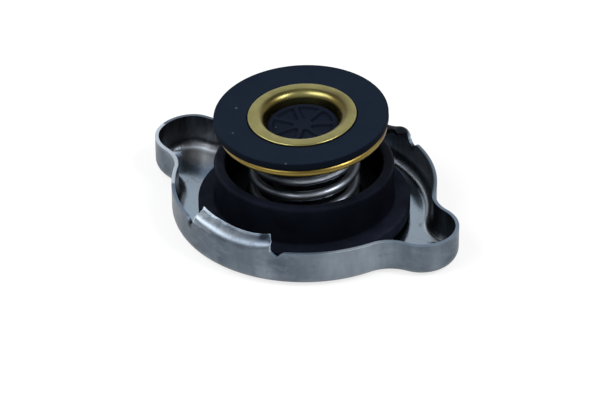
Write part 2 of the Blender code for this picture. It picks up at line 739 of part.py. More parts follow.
def make_vacuum_keeper(finish, collection, parent):
    """A small dished washer that carries the vacuum spring, held by the stem's spread end."""
    rim = KEEPER_SHEET * 1.5
    profile = [
        (KEEPER_RADIUS - KEEPER_SHEET, KEEPER_TOP + rim),
        (KEEPER_RADIUS, KEEPER_TOP + rim),
        (KEEPER_RADIUS, KEEPER_TOP - KEEPER_SHEET),
        (STEM_RADIUS + SEAT_GAP, KEEPER_TOP - KEEPER_SHEET),
        (STEM_RADIUS + SEAT_GAP, KEEPER_TOP),
        (KEEPER_RADIUS - KEEPER_SHEET, KEEPER_TOP),
    ]
    turned("vacuum_keeper", profile, finish, collection, parent, PIN_TURN_STEPS)


def make_vacuum_spring(finish, collection, parent):
    inner_limit = KEEPER_RADIUS - KEEPER_SHEET - SEAT_GAP
    radius = min(VACUUM_SPRING_RADIUS, inner_limit) - VACUUM_WIRE_RADIUS
    foot = KEEPER_TOP + SEAT_GAP + VACUUM_WIRE_RADIUS
    top = VACUUM_SEAT_BOTTOM - SEAT_GAP - VACUUM_WIRE_RADIUS
    active = VACUUM_SPRING_TURNS - 2
    points = []
    for angle, height in coil_heights(
        foot, top, VACUUM_WIRE_RADIUS, 1.0, active, FINE_COIL_STEPS
    ):
        flat = polar(radius, angle)
        points.append(Vector((flat.x, flat.y, height)))
    coil("vacuum_spring", points, VACUUM_WIRE_RADIUS, finish, collection, parent)


def main():
    remove_all_objects()
    cap = new_collection("radiator_cap")
    cutters = new_collection("cutters")

    zinc = metal("plated_steel", (0.47, 0.52, 0.56), 0.32)
    spring_steel = metal("spring_steel", (0.55, 0.56, 0.58), 0.22)
    rubber = material("black_rubber", (0.012, 0.014, 0.02), 0.7)
    seal_rubber = material("seal_rubber", (0.014, 0.02, 0.032), 0.62)
    brass = metal("brass", (0.55, 0.45, 0.18), 0.35)
    moulding = material("valve_moulding", (0.014, 0.016, 0.026), 0.5)

    insert_axis = add_empty("insert_axis", cap)
    valve_axis = add_empty("valve_axis", cap, lean_matrix(), insert_axis)
    vacuum_axis = add_empty("vacuum_axis", cap, None, valve_axis)

    make_shell(zinc, cap)

    make_rivet(zinc, cap, insert_axis)
    make_spring_disc(spring_steel, cap, insert_axis)
    make_neck_gasket(rubber, cap, insert_axis)
    make_spring_seat(zinc, cap, insert_axis)
    make_main_spring(spring_steel, cap, insert_axis)

    make_valve_plate(brass, cap, valve_axis)
    make_pressure_gasket(seal_rubber, cap, cutters, valve_axis)
    make_eyelet(brass, cap, valve_axis)
    make_valve_cage(zinc, cap, cutters, valve_axis)
    make_vacuum_seat(brass, cap, cutters, valve_axis)
    make_vacuum_spring(spring_steel, cap, valve_axis)

    make_vacuum_valve(moulding, cap, cutters, vacuum_axis)
    make_vacuum_stem(brass, cap, vacuum_axis)
    make_vacuum_keeper(brass, cap, vacuum_axis)


main()
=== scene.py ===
# %% [markdown]
# # A radiator cap, lying on its crown with the valve pointing up
# The imported CAD model gives the frame: its nodes, bodies and joints, all in metres. Each piece
# below is made again at a finer grain, gets its finish, and stands for the CAD node it covers.

# %% Load the fixed frame
import json
import math
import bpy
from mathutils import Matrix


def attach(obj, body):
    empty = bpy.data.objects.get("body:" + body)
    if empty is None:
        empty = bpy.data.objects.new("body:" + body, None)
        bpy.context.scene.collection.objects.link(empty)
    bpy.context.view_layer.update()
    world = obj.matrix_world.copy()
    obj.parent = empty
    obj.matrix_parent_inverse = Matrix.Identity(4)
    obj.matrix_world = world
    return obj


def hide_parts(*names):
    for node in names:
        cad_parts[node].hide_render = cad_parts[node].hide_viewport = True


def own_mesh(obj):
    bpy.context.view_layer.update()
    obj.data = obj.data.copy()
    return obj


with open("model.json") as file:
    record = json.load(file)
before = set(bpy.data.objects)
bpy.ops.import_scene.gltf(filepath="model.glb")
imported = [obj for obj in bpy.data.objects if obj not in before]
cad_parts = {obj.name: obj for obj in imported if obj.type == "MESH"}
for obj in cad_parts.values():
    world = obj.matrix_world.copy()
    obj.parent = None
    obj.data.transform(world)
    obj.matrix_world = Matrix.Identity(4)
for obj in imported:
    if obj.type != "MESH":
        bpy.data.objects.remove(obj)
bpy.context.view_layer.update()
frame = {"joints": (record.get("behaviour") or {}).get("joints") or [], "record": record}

from types import SimpleNamespace

import bmesh
import bpy
from mathutils import Matrix, Vector

MM = 0.001

# %% [markdown]
# ## Writing node trees as sums
# A shader or a Geometry Nodes tree is easier to read as a sum than as a list of links. The class
# below holds one socket. Its operators each add a Math node, and `node` adds any other node: the
# settings go in first, because they can change which sockets the node has.


# %% One socket that can be added, multiplied and compared
class Wire:
    """A socket of a node tree. `Wire(tree)` alone is the bench on which nodes are made."""

    def __init__(self, tree, socket=None):
        self.tree = tree
        self.socket = socket

    def node(self, kind, settings=None, sockets=None, output=0):
        made = self.tree.nodes.new(kind)
        for name, value in (settings or {}).items():
            if name == "stops":
                self.set_stops(made.color_ramp, value)
            else:
                setattr(made, name, value)
        for name, value in (sockets or {}).items():
            if isinstance(value, Wire):
                self.tree.links.new(value.socket, made.inputs[name])
            else:
                made.inputs[name].default_value = value
        return Wire(self.tree, made.outputs[output] if len(made.outputs) else None)

    @staticmethod
    def set_stops(ramp, stops):
        while len(ramp.elements) < len(stops):
            ramp.elements.new(1.0)
        for element, (place, grey) in zip(ramp.elements, stops):
            element.position = place
            element.color = (grey, grey, grey, 1.0)

    def math(self, operation, *others):
        return self.node("ShaderNodeMath", {"operation": operation}, dict(enumerate((self, *others))))

    def math_after(self, operation, first):
        return self.node("ShaderNodeMath", {"operation": operation}, {0: first, 1: self})

    def limited(self, low, high):
        return self.math("MAXIMUM", low).math("MINIMUM", high)

    def mark(self, name):
        """A number that the piece's mesh carries at each of its points."""
        return self.node("ShaderNodeAttribute", {"attribute_name": name}, None, 2)

    def joined(self, x, y, z):
        return self.node("ShaderNodeCombineXYZ", None, {0: x, 1: y, 2: z})

    def __add__(self, other):
        return self.math("ADD", other)

    def __sub__(self, other):
        return self.math("SUBTRACT", other)

    def __rsub__(self, other):
        return self.math_after("SUBTRACT", other)

    def __mul__(self, other):
        return self.math("MULTIPLY", other)

    def __truediv__(self, other):
        return self.math("DIVIDE", other)

    def __rtruediv__(self, other):
        return self.math_after("DIVIDE", other)

    def __pow__(self, other):
        return self.math("POWER", other)

    __radd__ = __add__
    __rmul__ = __mul__


def blend_color(factor, first, second, how="MIX"):
    """Colours go through a Mix node, because a Math node would turn them grey."""
    bench = factor if isinstance(factor, Wire) else first
    settings = {"data_type": "RGBA", "blend_type": how}
    return bench.node("ShaderNodeMix", settings, {0: factor, 6: first, 7: second}, 2)


# %% [markdown]
# ## Where a finish is on the piece
# Every pattern reads Object coordinates, turned to millimetres, so one number in a texture is one
# real size. Turned and drawn metal has marks that run round the axis, so its finishes also read
# the coordinates as radius, angle and height.


# %% Start a finish: an empty shader with coordinates in millimetres
def start_finish(name):
    finish = bpy.data.materials.new(name)
    finish.use_nodes = True
    tree = finish.node_tree
    shader = tree.nodes["Principled BSDF"]
    metres = Wire(tree).node("ShaderNodeTexCoord", output=3)
    place = metres.node("ShaderNodeVectorMath", {"operation": "SCALE"}, {0: metres, 3: 1 / MM})
    return finish, shader, place


def split(place):
    return [place.node("ShaderNodeSeparateXYZ", None, {0: place}, axis) for axis in range(3)]


def between(operation, place, other):
    """One number from two vectors, such as their DISTANCE or their DOT_PRODUCT."""
    return place.node("ShaderNodeVectorMath", {"operation": operation}, {0: place, 1: other}, 1)


def round_axis(place, along, across, high):
    """Coordinates for marks that run round the axis: angle squeezed, radius and height stretched."""
    x, y, z = split(place)
    radius = (x * x + y * y) ** 0.5
    return place.joined(y.math("ARCTAN2", x) * along, radius * across, z * high)


# %% Patterns that the finishes share
def noise(place, scale, detail=2.0, rough=0.5):
    sockets = {"Vector": place, "Scale": scale, "Detail": detail, "Roughness": rough}
    return place.node("ShaderNodeTexNoise", None, sockets)


def ramp(value, *stops):
    return value.node("ShaderNodeValToRGB", {"stops": stops}, {0: value})


def specks(place, spacing, size, share):
    """Sparse dots: 1 at a speck, 0 elsewhere. Only the given share of the cells has one."""
    sockets = {"Vector": place, "Scale": 1 / spacing, "Randomness": 1.0}
    cells = {"feature": "F1"}
    far = place.node("ShaderNodeTexVoronoi", cells, sockets, 0)
    pick = split(place.node("ShaderNodeTexVoronoi", cells, sockets, 1))[0]
    dot = 1.0 - (far / (size / spacing)).limited(0.0, 1.0)
    return (dot * 3.0).limited(0.0, 1.0) * pick.math("LESS_THAN", share)


def end_finish(shader, color, roughness, height, depth, metallic=0.0, **fixed):
    """Plugs the finish in. Depth is the bump's real height in millimetres."""
    sockets = {"Height": height, "Distance": depth * MM, "Strength": 1.0}
    bump = height.node("ShaderNodeBump", None, sockets)
    links = height.tree.links
    links.new(color.socket, shader.inputs["Base Color"])
    links.new(roughness.socket, shader.inputs["Roughness"])
    links.new(bump.socket, shader.inputs["Normal"])
    shader.inputs["Metallic"].default_value = metallic
    for name, value in fixed.items():
        shader.inputs[name.replace("_", " ")].default_value = value


# %% [markdown]
# ## Plated steel
# The shell is zinc-plated strip, pressed: a grey metal with soft clouds, faint vertical draw
# marks on the skirt, a few pits and stains, and brighter sheared edges. Light and shade are
# painted into its colour: the outer face and the inner wall are drawn darker as painted shade, the
# inner floor lighter as painted light, and one ear's floor is matt with a painted warm, streaked
# reflection. The bends and the front tab carry painted highlights, and the notches, one curled
# corner and the back tab painted shade. The shell's mesh carries marks for its edges, its outer
# face, its inner wall, its painted shade and its painted light, because all of these follow its
# rim and its folds. The finish is a stack of colour layers, as a painter would glaze them, each
# with the share of it that shows.

# %% Colours and places of the plated steel
STEEL = (0.235, 0.282, 0.33, 1)
STEEL_LIGHT = (0.33, 0.38, 0.43, 1)
# Stains and pits, also painted shade on the left ear's rim
STAIN_AND_SHADE = (0.12, 0.14, 0.165, 1)
STEEL_SHEARED = (0.19, 0.26, 0.345, 1)
# Bright colour of the sheared lips, also used for painted highlights
EDGE_AND_HIGHLIGHT = (0.62, 0.7, 0.78, 1)
# Blue of the plating's veins, also painted shade at the front tab's right end
VEINS_AND_SHADE_BLUE = (0.07, 0.1, 0.16, 1)
# Painted reflection on one ear's matt floor
WARM_REFLECTION = (0.68, 0.67, 0.64, 1)
# Painted shade for the outer face and the inner wall, and painted light for the inner floor
SKIRT_SHADE = (0.33, 0.365, 0.405, 1)
WALL_SHADE = (0.34, 0.31, 0.32, 1)
FLOOR_LIGHT = (0.29, 0.375, 0.46, 1)
# Near black for painted shade
SHADE_DARK = (0.014, 0.017, 0.024, 1)
SKIRT_LIGHT_LEVEL = 0.24
MATT_PLACE = (-25.8, 4.2, 0.6)
MATT_REACH = 5.6
EAR_STREAKS_ACROSS = (0.82, 0.57, 0.0)


# %% Regions of the shell, read from its marks
def rising(value, start, reach):
    """0 up to the start, and rising to 1 over the reach."""
    return ((value - start) / reach).limited(0.0, 1.0)


def steel_regions(place):
    """Each region is a number that is 1 within it and 0 outside."""
    x, y, _ = split(place)
    inside, worn = place.mark("inside"), place.mark("sheared")
    handled = place.mark("handled").limited(0.0, 1.0)
    wall = (inside - 1.0).limited(0.0, 1.0)
    rim = worn.limited(0.0, 1.0)
    ground = (inside.limited(0.0, 1.0) - wall) * (1.0 - rim)
    # Shares for painted light and shade follow: the ear floor's painted reflection, painted shade and
    # a painted highlight in the bend, and painted shade at the front tab's right end
    from_matt = between("DISTANCE", place, MATT_PLACE) / MATT_REACH
    bend = ramp(wall, (0.0, 0.0), (0.14, 1.0), (0.26, 1.0), (0.42, 0.0))
    return SimpleNamespace(
        handled=handled, wall=wall, rim=rim, ground=ground,
        polished=place.mark("polished"), dulled=place.mark("dulled"),
        folded=(1.0 - handled) * (1.0 - inside.limited(0.0, 1.0)),
        lip=(worn - 1.0).limited(0.0, 1.0),
        matt_and_reflection=ramp(from_matt, (0.35, 1.0), (0.95, 0.0)) * ground,
        crease=ramp(wall, (0.0, 0.2), (0.12, 1.0)),
        bend_highlight=bend * rising(y, -3.0, 4.0),
        bend_shade=ramp(wall, (0.05, 0.0), (0.15, 1.0), (0.7, 0.9), (0.97, 0.0)),
        blue_end=rising(x, 0.5, 5.5) * y.math("LESS_THAN", 0.0),
        left_side=rising(0.0 - x, 14.0, 8.0),
        right_side=rising(x, 15.0, 6.0),
    )


# %% Patterns of the plated steel
def steel_patterns(place):
    x, y, z = split(place)
    marks = noise(place.joined(x * 1.6, y * 1.6, z * 0.22), 1.0, 5.0, 0.65)
    smudged = place.joined(x * 0.35, y * 0.35, z * 0.8)
    streaked = place.joined(x * 0.3, y * 0.3, z * 0.09)
    across = between("DOT_PRODUCT", place, EAR_STREAKS_ACROSS)
    streak_coords = place.joined(across * 0.6, y * 0.06, x * 0.06)
    return SimpleNamespace(
        marks=marks,
        streaks=ramp(marks, (0.4, 0.0), (0.6, 1.0)),
        clouds=ramp(noise(place, 0.11, 4.0, 0.6), (0.35, 0.0), (0.68, 1.0)),
        grain=noise(place, 2.6, 3.0, 0.6),
        stains=ramp(noise(place, 0.42, 5.0, 0.7), (0.6, 0.0), (0.74, 1.0)),
        pits=specks(place, 1.7, 0.13, 0.16),
        smudges=ramp(noise(smudged, 1.0, 4.0, 0.6), (0.5, 0.0), (0.72, 1.0)),
        bands=ramp(noise(streaked, 1.0, 3.0, 0.55), (0.36, 0.0), (0.64, 1.0)),
        brush=ramp(noise(streak_coords, 1.0, 3.0, 0.6), (0.4, 0.0), (0.6, 1.0)),
        veins=ramp(noise(place, 0.8, 5.0, 0.72), (0.42, 1.0), (0.56, 0.0)),
    )


# %% The plated steel finish
def plated_steel():
    finish, shader, place = start_finish("plated_steel")
    on, made = steel_regions(place), steel_patterns(place)
    unshaded = 1.0 - on.dulled
    blue = (made.veins * 0.6).math("MAXIMUM", on.blue_end * 0.9)
    layers = (
        # Painted light: the inner floor is drawn lighter and bluer, and less so on its right side
        (on.ground * (0.9 - made.clouds * 0.3), FLOOR_LIGHT, "MIX"),
        # Painted reflection: the matt ear floor is drawn with a warm, streaked reflection
        (on.matt_and_reflection * (0.62 + made.brush * 0.38), WARM_REFLECTION, "MIX"),
        (on.ground * on.right_side * 0.45, STEEL, "MIX"),
        (on.handled * made.bands * 0.42, STAIN_AND_SHADE, "MIX"),
        (made.stains * (0.45 + on.ground * 0.3), STAIN_AND_SHADE, "MIX"),
        (made.pits * 0.7, STAIN_AND_SHADE, "MIX"),
        # Painted shade: the outer face is drawn darker, except where painted light lifts it
        (on.handled * (1.0 - on.polished), SKIRT_SHADE, "MULTIPLY"),
        (on.handled * made.smudges * 0.35, STEEL, "MIX"),
        # Painted shade: the inner wall and its bend are drawn darker
        (on.crease * (1.0 - made.streaks * 0.25), WALL_SHADE, "MULTIPLY"),
        # Painted shade in the bend, and a thin painted highlight along it
        (on.bend_shade * 0.3, SHADE_DARK, "MIX"),
        (on.bend_highlight * 0.7, EDGE_AND_HIGHLIGHT, "MIX"),
        # Painted highlight on the front tab's top, brightest at its left
        (on.folded * on.polished * 0.7, EDGE_AND_HIGHLIGHT, "MIX"),
        # Blue veins of the plating, and painted shade at the front tab's right end
        (on.folded * blue, VEINS_AND_SHADE_BLUE, "MIX"),
        # Painted shade: near black where marked, such as the notches, the back tab, the rivet, the
        # seat and the cage
        (on.dulled * 0.97, SHADE_DARK, "MIX"),
        # The sheared edges, except where painted shade lies
        (on.rim * unshaded * (0.6 + made.marks * 0.5), STEEL_SHEARED, "MIX"),
        # Painted shade on the left ear's rim
        (on.rim * on.left_side * 0.5, STAIN_AND_SHADE, "MIX"),
        # Painted highlight on the rims where painted light is high
        (on.rim * (on.polished - SKIRT_LIGHT_LEVEL) * 1.3, EDGE_AND_HIGHLIGHT, "MIX"),
        (on.lip * unshaded, EDGE_AND_HIGHLIGHT, "MIX"),
    )
    color = blend_color(made.clouds * 0.55 + made.marks * 0.3, STEEL, STEEL_LIGHT)
    for share, tint, how in layers:
        color = blend_color(share, color, tint, how)
    roughness = 0.31 + made.clouds * 0.08 + made.marks * 0.08 + made.stains * 0.12
    roughness = roughness + on.rim * 0.16 + on.dulled * 0.2 + on.folded * 0.22 + on.matt_and_reflection * 0.34
    roughness = roughness + on.wall * (1.0 - on.wall) * 0.4 - on.ground * 0.23 - on.wall * 0.08
    height = made.marks * 0.5 + made.grain * 0.35 - made.pits * 0.9
    end_finish(shader, color, roughness, height, 0.012, 1.0)
    return finish


# %% The spring steel finish
WIRE_STEEL = (0.56, 0.62, 0.71, 1)
WIRE_FILM = (0.26, 0.3, 0.35, 1)


def spring_steel():
    """Drawn wire and strip: fine lines run along it, and the grease left on it makes dull patches.
    Where marked, painted shade draws it near black.
    """
    finish, shader, place = start_finish("spring_steel")
    lines = noise(round_axis(place, 1.2, 5.0, 5.0), 1.0, 3.0, 0.6)
    film = ramp(noise(place, 0.3, 4.0, 0.6), (0.4, 0.0), (0.66, 1.0))
    dulled = place.mark("dulled")
    color = blend_color(film * 0.6 + lines * 0.2, WIRE_STEEL, WIRE_FILM)
    # Painted shade: near black where marked
    color = blend_color(dulled * 0.95, color, SHADE_DARK)
    roughness = 0.31 + film * 0.1 + lines * 0.06 + dulled * 0.12
    end_finish(shader, color, roughness, lines, 0.01, 1.0)
    return finish


# %% [markdown]
# ## Brass, rubber and the moulded valve
# The brass is drawn and lightly tarnished, with marks round the axis. The two rubbers are blue
# black; the washer is matte with a few specks of lint, and the collar has a smoother moulded skin.
# Their specular level is low, because this rubber hardly mirrors the white studio.

# %% The brass finish
BRASS = (0.34, 0.318, 0.125, 1)
BRASS_TARNISHED = (0.2, 0.17, 0.066, 1)
# Painted shade for the brass band and the throat's sides
BRASS_SHADE = (0.3, 0.26, 0.2, 1)
BAND_GOLD = (1.0, 0.82, 0.58, 1)


def brass():
    finish, shader, place = start_finish("brass")
    rings = noise(round_axis(place, 1.5, 6.0, 6.0), 1.0, 3.0, 0.6)
    tarnish = ramp(noise(place, 0.35, 4.0, 0.6), (0.38, 0.0), (0.7, 1.0))
    grain = noise(place, 5.0, 2.0, 0.5)
    color = blend_color(tarnish * 0.35 + rings * 0.2, BRASS, BRASS_TARNISHED)
    # Painted shade: where marked, the brass is drawn darker
    color = blend_color(place.mark("dulled").limited(0.0, 1.0), color, BRASS_SHADE, "MULTIPLY")
    color = blend_color(place.mark("golden"), color, BAND_GOLD, "MULTIPLY")
    roughness = 0.27 + tarnish * 0.08 + rings * 0.08
    end_finish(shader, color, roughness, rings * 0.5 + grain * 0.5, 0.008, 1.0)
    return finish


# %% The rubbers and the valve moulding
# Painted sheen for the rubber, laid on in the bloom's pattern
RUBBER_SHEEN_AND_BLOOM = (0.014, 0.0175, 0.03, 1)
RUBBER_SHADE = (0.001, 0.001, 0.0016, 1)
LINT = (0.16, 0.18, 0.2, 1)
LINT_PLACES = (((-11.5, -4.8, 20.8), 0.3), ((-7.4, -11.5, 20.5), 0.26), ((6.1, -14.4, 20.5), 0.24))
SPECULAR = {"Specular_IOR_Level": 0.012, "Specular_Tint": (0.5, 0.68, 1.0, 1.0)}


def rubber(name, color, light, roughness, lint, lint_places=()):
    finish, shader, place = start_finish(name)
    x, y, z = split(place)
    skin = noise(place, 3.2, 4.0, 0.65)
    bloom = ramp(noise(place, 0.16, 4.0, 0.6), (0.36, 0.0), (0.7, 1.0))
    dust = specks(place.joined(x, y, z * 0.1), 4.2, 0.2, lint)
    for center, reach in lint_places:
        dust = dust + (1.0 - between("DISTANCE", place, center) / reach).limited(0.0, 1.0)
    shaded = place.mark("shaded")
    body = blend_color(bloom * 0.6 + skin * 0.3, color, light)
    # Painted sheen: where marked, the rubber is drawn lighter and bluer
    body = blend_color(place.mark("dulled") * (0.3 + bloom * 0.7), body, RUBBER_SHEEN_AND_BLOOM)
    body = blend_color(shaded, body, RUBBER_SHADE)
    body = blend_color(dust * 0.5 * (1.0 - shaded), body, LINT)
    roughness = roughness + skin * 0.12 - bloom * 0.06
    end_finish(shader, body, roughness, skin, 0.014, 0.0, **SPECULAR)
    return finish


# %% Make every finish
RUBBERS = {
    "black_rubber": ((0.002, 0.0023, 0.0042, 1), (0.005, 0.0065, 0.011, 1), 0.42, 0.05),
    "seal_rubber": ((0.0065, 0.0106, 0.019, 1), (0.0081, 0.013, 0.0232, 1), 0.6, 0.3, LINT_PLACES),
    "valve_moulding": ((0.0055, 0.008, 0.0143, 1), (0.008, 0.011, 0.0198, 1), 0.5, 0.1),
}
FINISHES = {"plated_steel": plated_steel(), "spring_steel": spring_steel(), "brass": brass()}
FINISHES.update({name: rubber(name, *values) for name, values in RUBBERS.items()})
print("finishes:", ", ".join(FINISHES))

# %% [markdown]
# ## From a mesh to a piece that belongs
# A finished piece sits at the origin with its place in its mesh. It rides on the body that the
# record gives its node, hides that node and takes the same material slot. Edges sharper than the
# limit stay crisp, and every other edge is shaded smooth.

# %% Hand a mesh over to the frame
CRISP_ANGLE = math.radians(38)
BODIES = frame["record"]["behaviour"]["bodies"]
NODE_BODY = {node: body for body, nodes in BODIES.items() for node in nodes}


def check_mesh(mesh):
    """The open edges and the volume in cubic millimetres, which is negative when inside out."""
    shape = bmesh.new()
    shape.from_mesh(mesh)
    loose = sum(1 for edge in shape.edges if len(edge.link_faces) != 2)
    volume = shape.calc_volume(signed=True) / MM**3
    shape.free()
    return loose, volume


def belong(piece, node, slot):
    mesh = piece.data
    mesh.materials.clear()
    mesh.materials.append(FINISHES[slot])
    mesh.polygons.foreach_set("use_smooth", [True] * len(mesh.polygons))
    mesh.set_sharp_from_angle(angle=CRISP_ANGLE)
    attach(piece, NODE_BODY[node])
    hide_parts(node)
    loose, volume = check_mesh(mesh)
    triangles = sum(len(face.vertices) - 2 for face in mesh.polygons)
    print(f"{piece.name}: {triangles} triangles, {loose} open edges, {volume:.1f} mm3")


def new_object(name, mesh):
    item = bpy.data.objects.new(name, mesh)
    bpy.context.scene.collection.objects.link(item)
    return item


def mark_points(piece, share_at, mark="dulled"):
    """Marks a share at each point of a piece, such as painted shade or light: share_at gives 0 to 1
    from a point in millimetres.
    """
    mesh = piece.data
    marks = mesh.attributes.new(mark, "FLOAT", "POINT").data
    marks.foreach_set("value", [share_at(vert.co / MM) for vert in mesh.vertices])


def plain_mesh(carrier):
    """Turns what the modifiers make into a plain mesh, and takes the modifiers off."""
    graph = bpy.context.evaluated_depsgraph_get()
    made = bpy.data.meshes.new_from_object(carrier.evaluated_get(graph))
    carrier.modifiers.clear()
    carrier.data = made


# %% [markdown]
# ## The pressed shell
# One piece of sheet is blanked, drawn to a dish with two ears, and its two locking tabs are folded
# in over notches. Its outline is three kinds of arc that meet smoothly. An offset inwards keeps
# each arc's centre, so every level of the press is the same list of columns with other radii. The
# sheet's outer face is built column by column, Solidify gives it its thickness, and a small Bevel
# rounds the sheared edges. Sculpting could not hold these radii, and a Boolean would leave the
# folds without their smooth bends. A size that differs by side is kept under -1 for the front or
# the left, and 1 for the back or the right.

# %% Sizes of the shell, in millimetres
SHEET = 0.65
BODY_RADIUS = 24.1
EAR_REACH = 32.1
EAR_RADIUS = 6.8
EAR_FILLET = 0.75 * (EAR_REACH - BODY_RADIUS)
EAR_LIFT = 0.5
EAR_BACK_LIFT = 0.3
EAR_LOW_RIM = 0.3
EAR_BLEND_START = 0.8 * BODY_RADIUS
EAR_BLEND = 0.4 * BODY_RADIUS
RIM_HEIGHT = 7.1
CROWN_BEND = 2.5
HOLE_RADIUS = 2.05
RECESS_RADIUS = 5.2
RECESS_SLOPE = 1.2
RECESS_DEPTH = 0.9
TAB_HALF_ANGLE = 20.2
TAB_WIDTH = 2.85
TAB_END_TOPS = {-1: 8.8, 1: 10.55}
TAB_CORNERS = {-1: 0.2, 1: 2.7}
TAB_TOPS = {-1: 8.2, 1: 7.95}
TAB_BENDS = {-1: 2.1, 1: 1.5}
TAB_END_BENDS = {-1: 1.35, 1: 1.1}
TAB_SWELL = 0.2
TAB_SLOPES = {-1: 6.0, 1: 22.0}
TAB_LEVEL_SHARE = 0.25
TAB_LIP = 0.32
TAB_LIP_START = 0.66
TAB_LIP_RISE = 0.3
TAB_SPLAY = {1: -0.08, -1: 0.11}
NOTCH_ANGLE = 7.0
NOTCH_LOW_ANGLE = 3.1
NOTCH_BOTTOM = 6.1
NOTCH_TAB_SIDE = 1.1
NOTCH_CURVE = 1.6
EDGE_BAND = 0.1
EDGE_ROUND = 0.2
LIP_SHEEN = 1.8
RIM_SHEEN = 1.0
LIP_ROWS = 3

# %% The outline and its columns
EAR_COLUMNS = 28
FILLET_COLUMNS = 16
SIDE_COLUMNS = 26
NOTCH_COLUMNS = 24
TAB_COLUMNS = 34


def polar(radius, degrees):
    turn = math.radians(degrees)
    return Vector((radius * math.cos(turn), radius * math.sin(turn)))


def smooth_step(share):
    share = min(max(share, 0.0), 1.0)
    return share * share * (3 - 2 * share)


def fillet_center():
    reach = EAR_REACH - EAR_RADIUS
    body = BODY_RADIUS + EAR_FILLET
    ear = EAR_RADIUS + EAR_FILLET
    x = (body**2 - ear**2 + reach**2) / (2 * reach)
    return Vector((x, math.sqrt(body**2 - x**2)))


def quarter_columns():
    """From the tip of the +X ear to the middle of the +Y tab, as (kind, angle) pairs."""
    center = fillet_center()
    ear_end = math.degrees(math.atan2(center.y, center.x - EAR_REACH + EAR_RADIUS))
    body_start = math.degrees(math.atan2(center.y, center.x))
    tab_start = 90.0 - TAB_HALF_ANGLE
    notch_start = tab_start - NOTCH_ANGLE
    columns = []
    stretches = (
        ("ear", 0.0, ear_end, EAR_COLUMNS),
        ("fillet", ear_end - 180.0, body_start - 180.0, FILLET_COLUMNS),
        ("side", body_start, notch_start, SIDE_COLUMNS),
        ("notch", notch_start, tab_start, NOTCH_COLUMNS),
        ("tab", tab_start, 90.0, TAB_COLUMNS),
    )
    for kind, start, end, count in stretches:
        for i in range(count):
            columns.append((kind, start + (end - start) * i / count))
    return columns + [("tab", 90.0)]


def outline_point(kind, angle, offset):
    if kind == "ear":
        return Vector((EAR_REACH - EAR_RADIUS, 0)) + polar(EAR_RADIUS - offset, angle)
    if kind == "fillet":
        return fillet_center() + polar(EAR_FILLET + offset, angle)
    return polar(BODY_RADIUS - offset, angle)


# %% One column of the pressed sheet
RECESS_ROWS = 8
RECESS_SHARES = [i / RECESS_ROWS for i in range(1, RECESS_ROWS + 1)]
CROWN_SHARES = (0.04, 0.5, 0.96)
BEND_ROWS = 9
CROWN_ROWS = 3 + RECESS_ROWS + len(CROWN_SHARES) + BEND_ROWS
WALL_ROWS = 6
SHELF_SHARES = (0.2, 0.4, 0.55, 0.68, 0.78, 0.86, 0.93, 0.965, 1.0)
CORNER_LIMIT = 0.96
BEND_ROOM = 0.2


def notch_height(angle):
    """A notch falls straight from the tab's end and rises in a rounded shoulder to the rim."""
    from_tab = 90.0 - TAB_HALF_ANGLE - angle
    if from_tab < NOTCH_LOW_ANGLE:
        return NOTCH_BOTTOM + NOTCH_TAB_SIDE * (1.0 - from_tab / NOTCH_LOW_ANGLE) ** NOTCH_CURVE
    share = (from_tab - NOTCH_LOW_ANGLE) / (NOTCH_ANGLE - NOTCH_LOW_ANGLE)
    return NOTCH_BOTTOM + (RIM_HEIGHT - NOTCH_BOTTOM) * math.sin(math.pi / 2 * share)


def ear_share(x):
    return smooth_step((abs(x) - EAR_BLEND_START) / EAR_BLEND)


def crown_rows(kind, angle):
    """From the rivet hole over the pressed recess and the flat crown, round the bend to the wall."""
    crown = outline_point(kind, angle, CROWN_BEND)
    toward = crown.normalized()
    rows = [(toward * HOLE_RADIUS, RECESS_DEPTH), (toward * (RECESS_RADIUS - 0.4), RECESS_DEPTH)]
    rows.append((toward * RECESS_RADIUS, RECESS_DEPTH))
    for share in RECESS_SHARES:
        height = RECESS_DEPTH * (0.5 + 0.5 * math.cos(math.pi * share))
        rows.append((toward * (RECESS_RADIUS + RECESS_SLOPE * share), height))
    edge = toward * (RECESS_RADIUS + RECESS_SLOPE)
    rows += [(edge.lerp(crown, share), 0.0) for share in CROWN_SHARES]
    for i in range(BEND_ROWS + 1):
        turn = math.pi / 2 * i / BEND_ROWS
        offset = CROWN_BEND * (1 - math.sin(turn))
        rows.append((outline_point(kind, angle, offset), CROWN_BEND * (1 - math.cos(turn))))
    return rows


# %% The wall of a column, and the fold of a tab's
def wall_rows(kind, angle, top):
    """Up the wall. The last row before the top is close to it, so that the worn edge is narrow."""
    foot = outline_point(kind, angle, 0)
    step = (top - EDGE_BAND - CROWN_BEND) / WALL_ROWS
    heights = [CROWN_BEND + step * i for i in range(1, WALL_ROWS + 1)]
    return [(foot, height) for height in heights + [top]]


def tab_rise(angle):
    """0 over the level middle of a tab, rising to 1 at its ends."""
    share = (90.0 - angle) / TAB_HALF_ANGLE
    return (max(0.0, share - TAB_LEVEL_SHARE) / (1.0 - TAB_LEVEL_SHARE)) ** 2


def tab_height(angle, x_side, y_side):
    """A tab's top, with its rounded corner and the slight swell of the front tab's left half."""
    from_middle = 90.0 - angle
    corner = TAB_CORNERS[y_side]
    turned_in = 1.0 - math.radians(TAB_HALF_ANGLE - from_middle) * BODY_RADIUS / corner
    drop = corner * (1.0 - math.sqrt(1.0 - min(max(turned_in, 0.0), CORNER_LIMIT) ** 2))
    top = TAB_TOPS[y_side] + (TAB_END_TOPS[y_side] - TAB_TOPS[y_side]) * tab_rise(angle) - drop
    if x_side < 0 and y_side < 0:
        top += TAB_SWELL * math.sin(math.pi * min(from_middle / TAB_HALF_ANGLE, 1.0)) ** 2
    return top


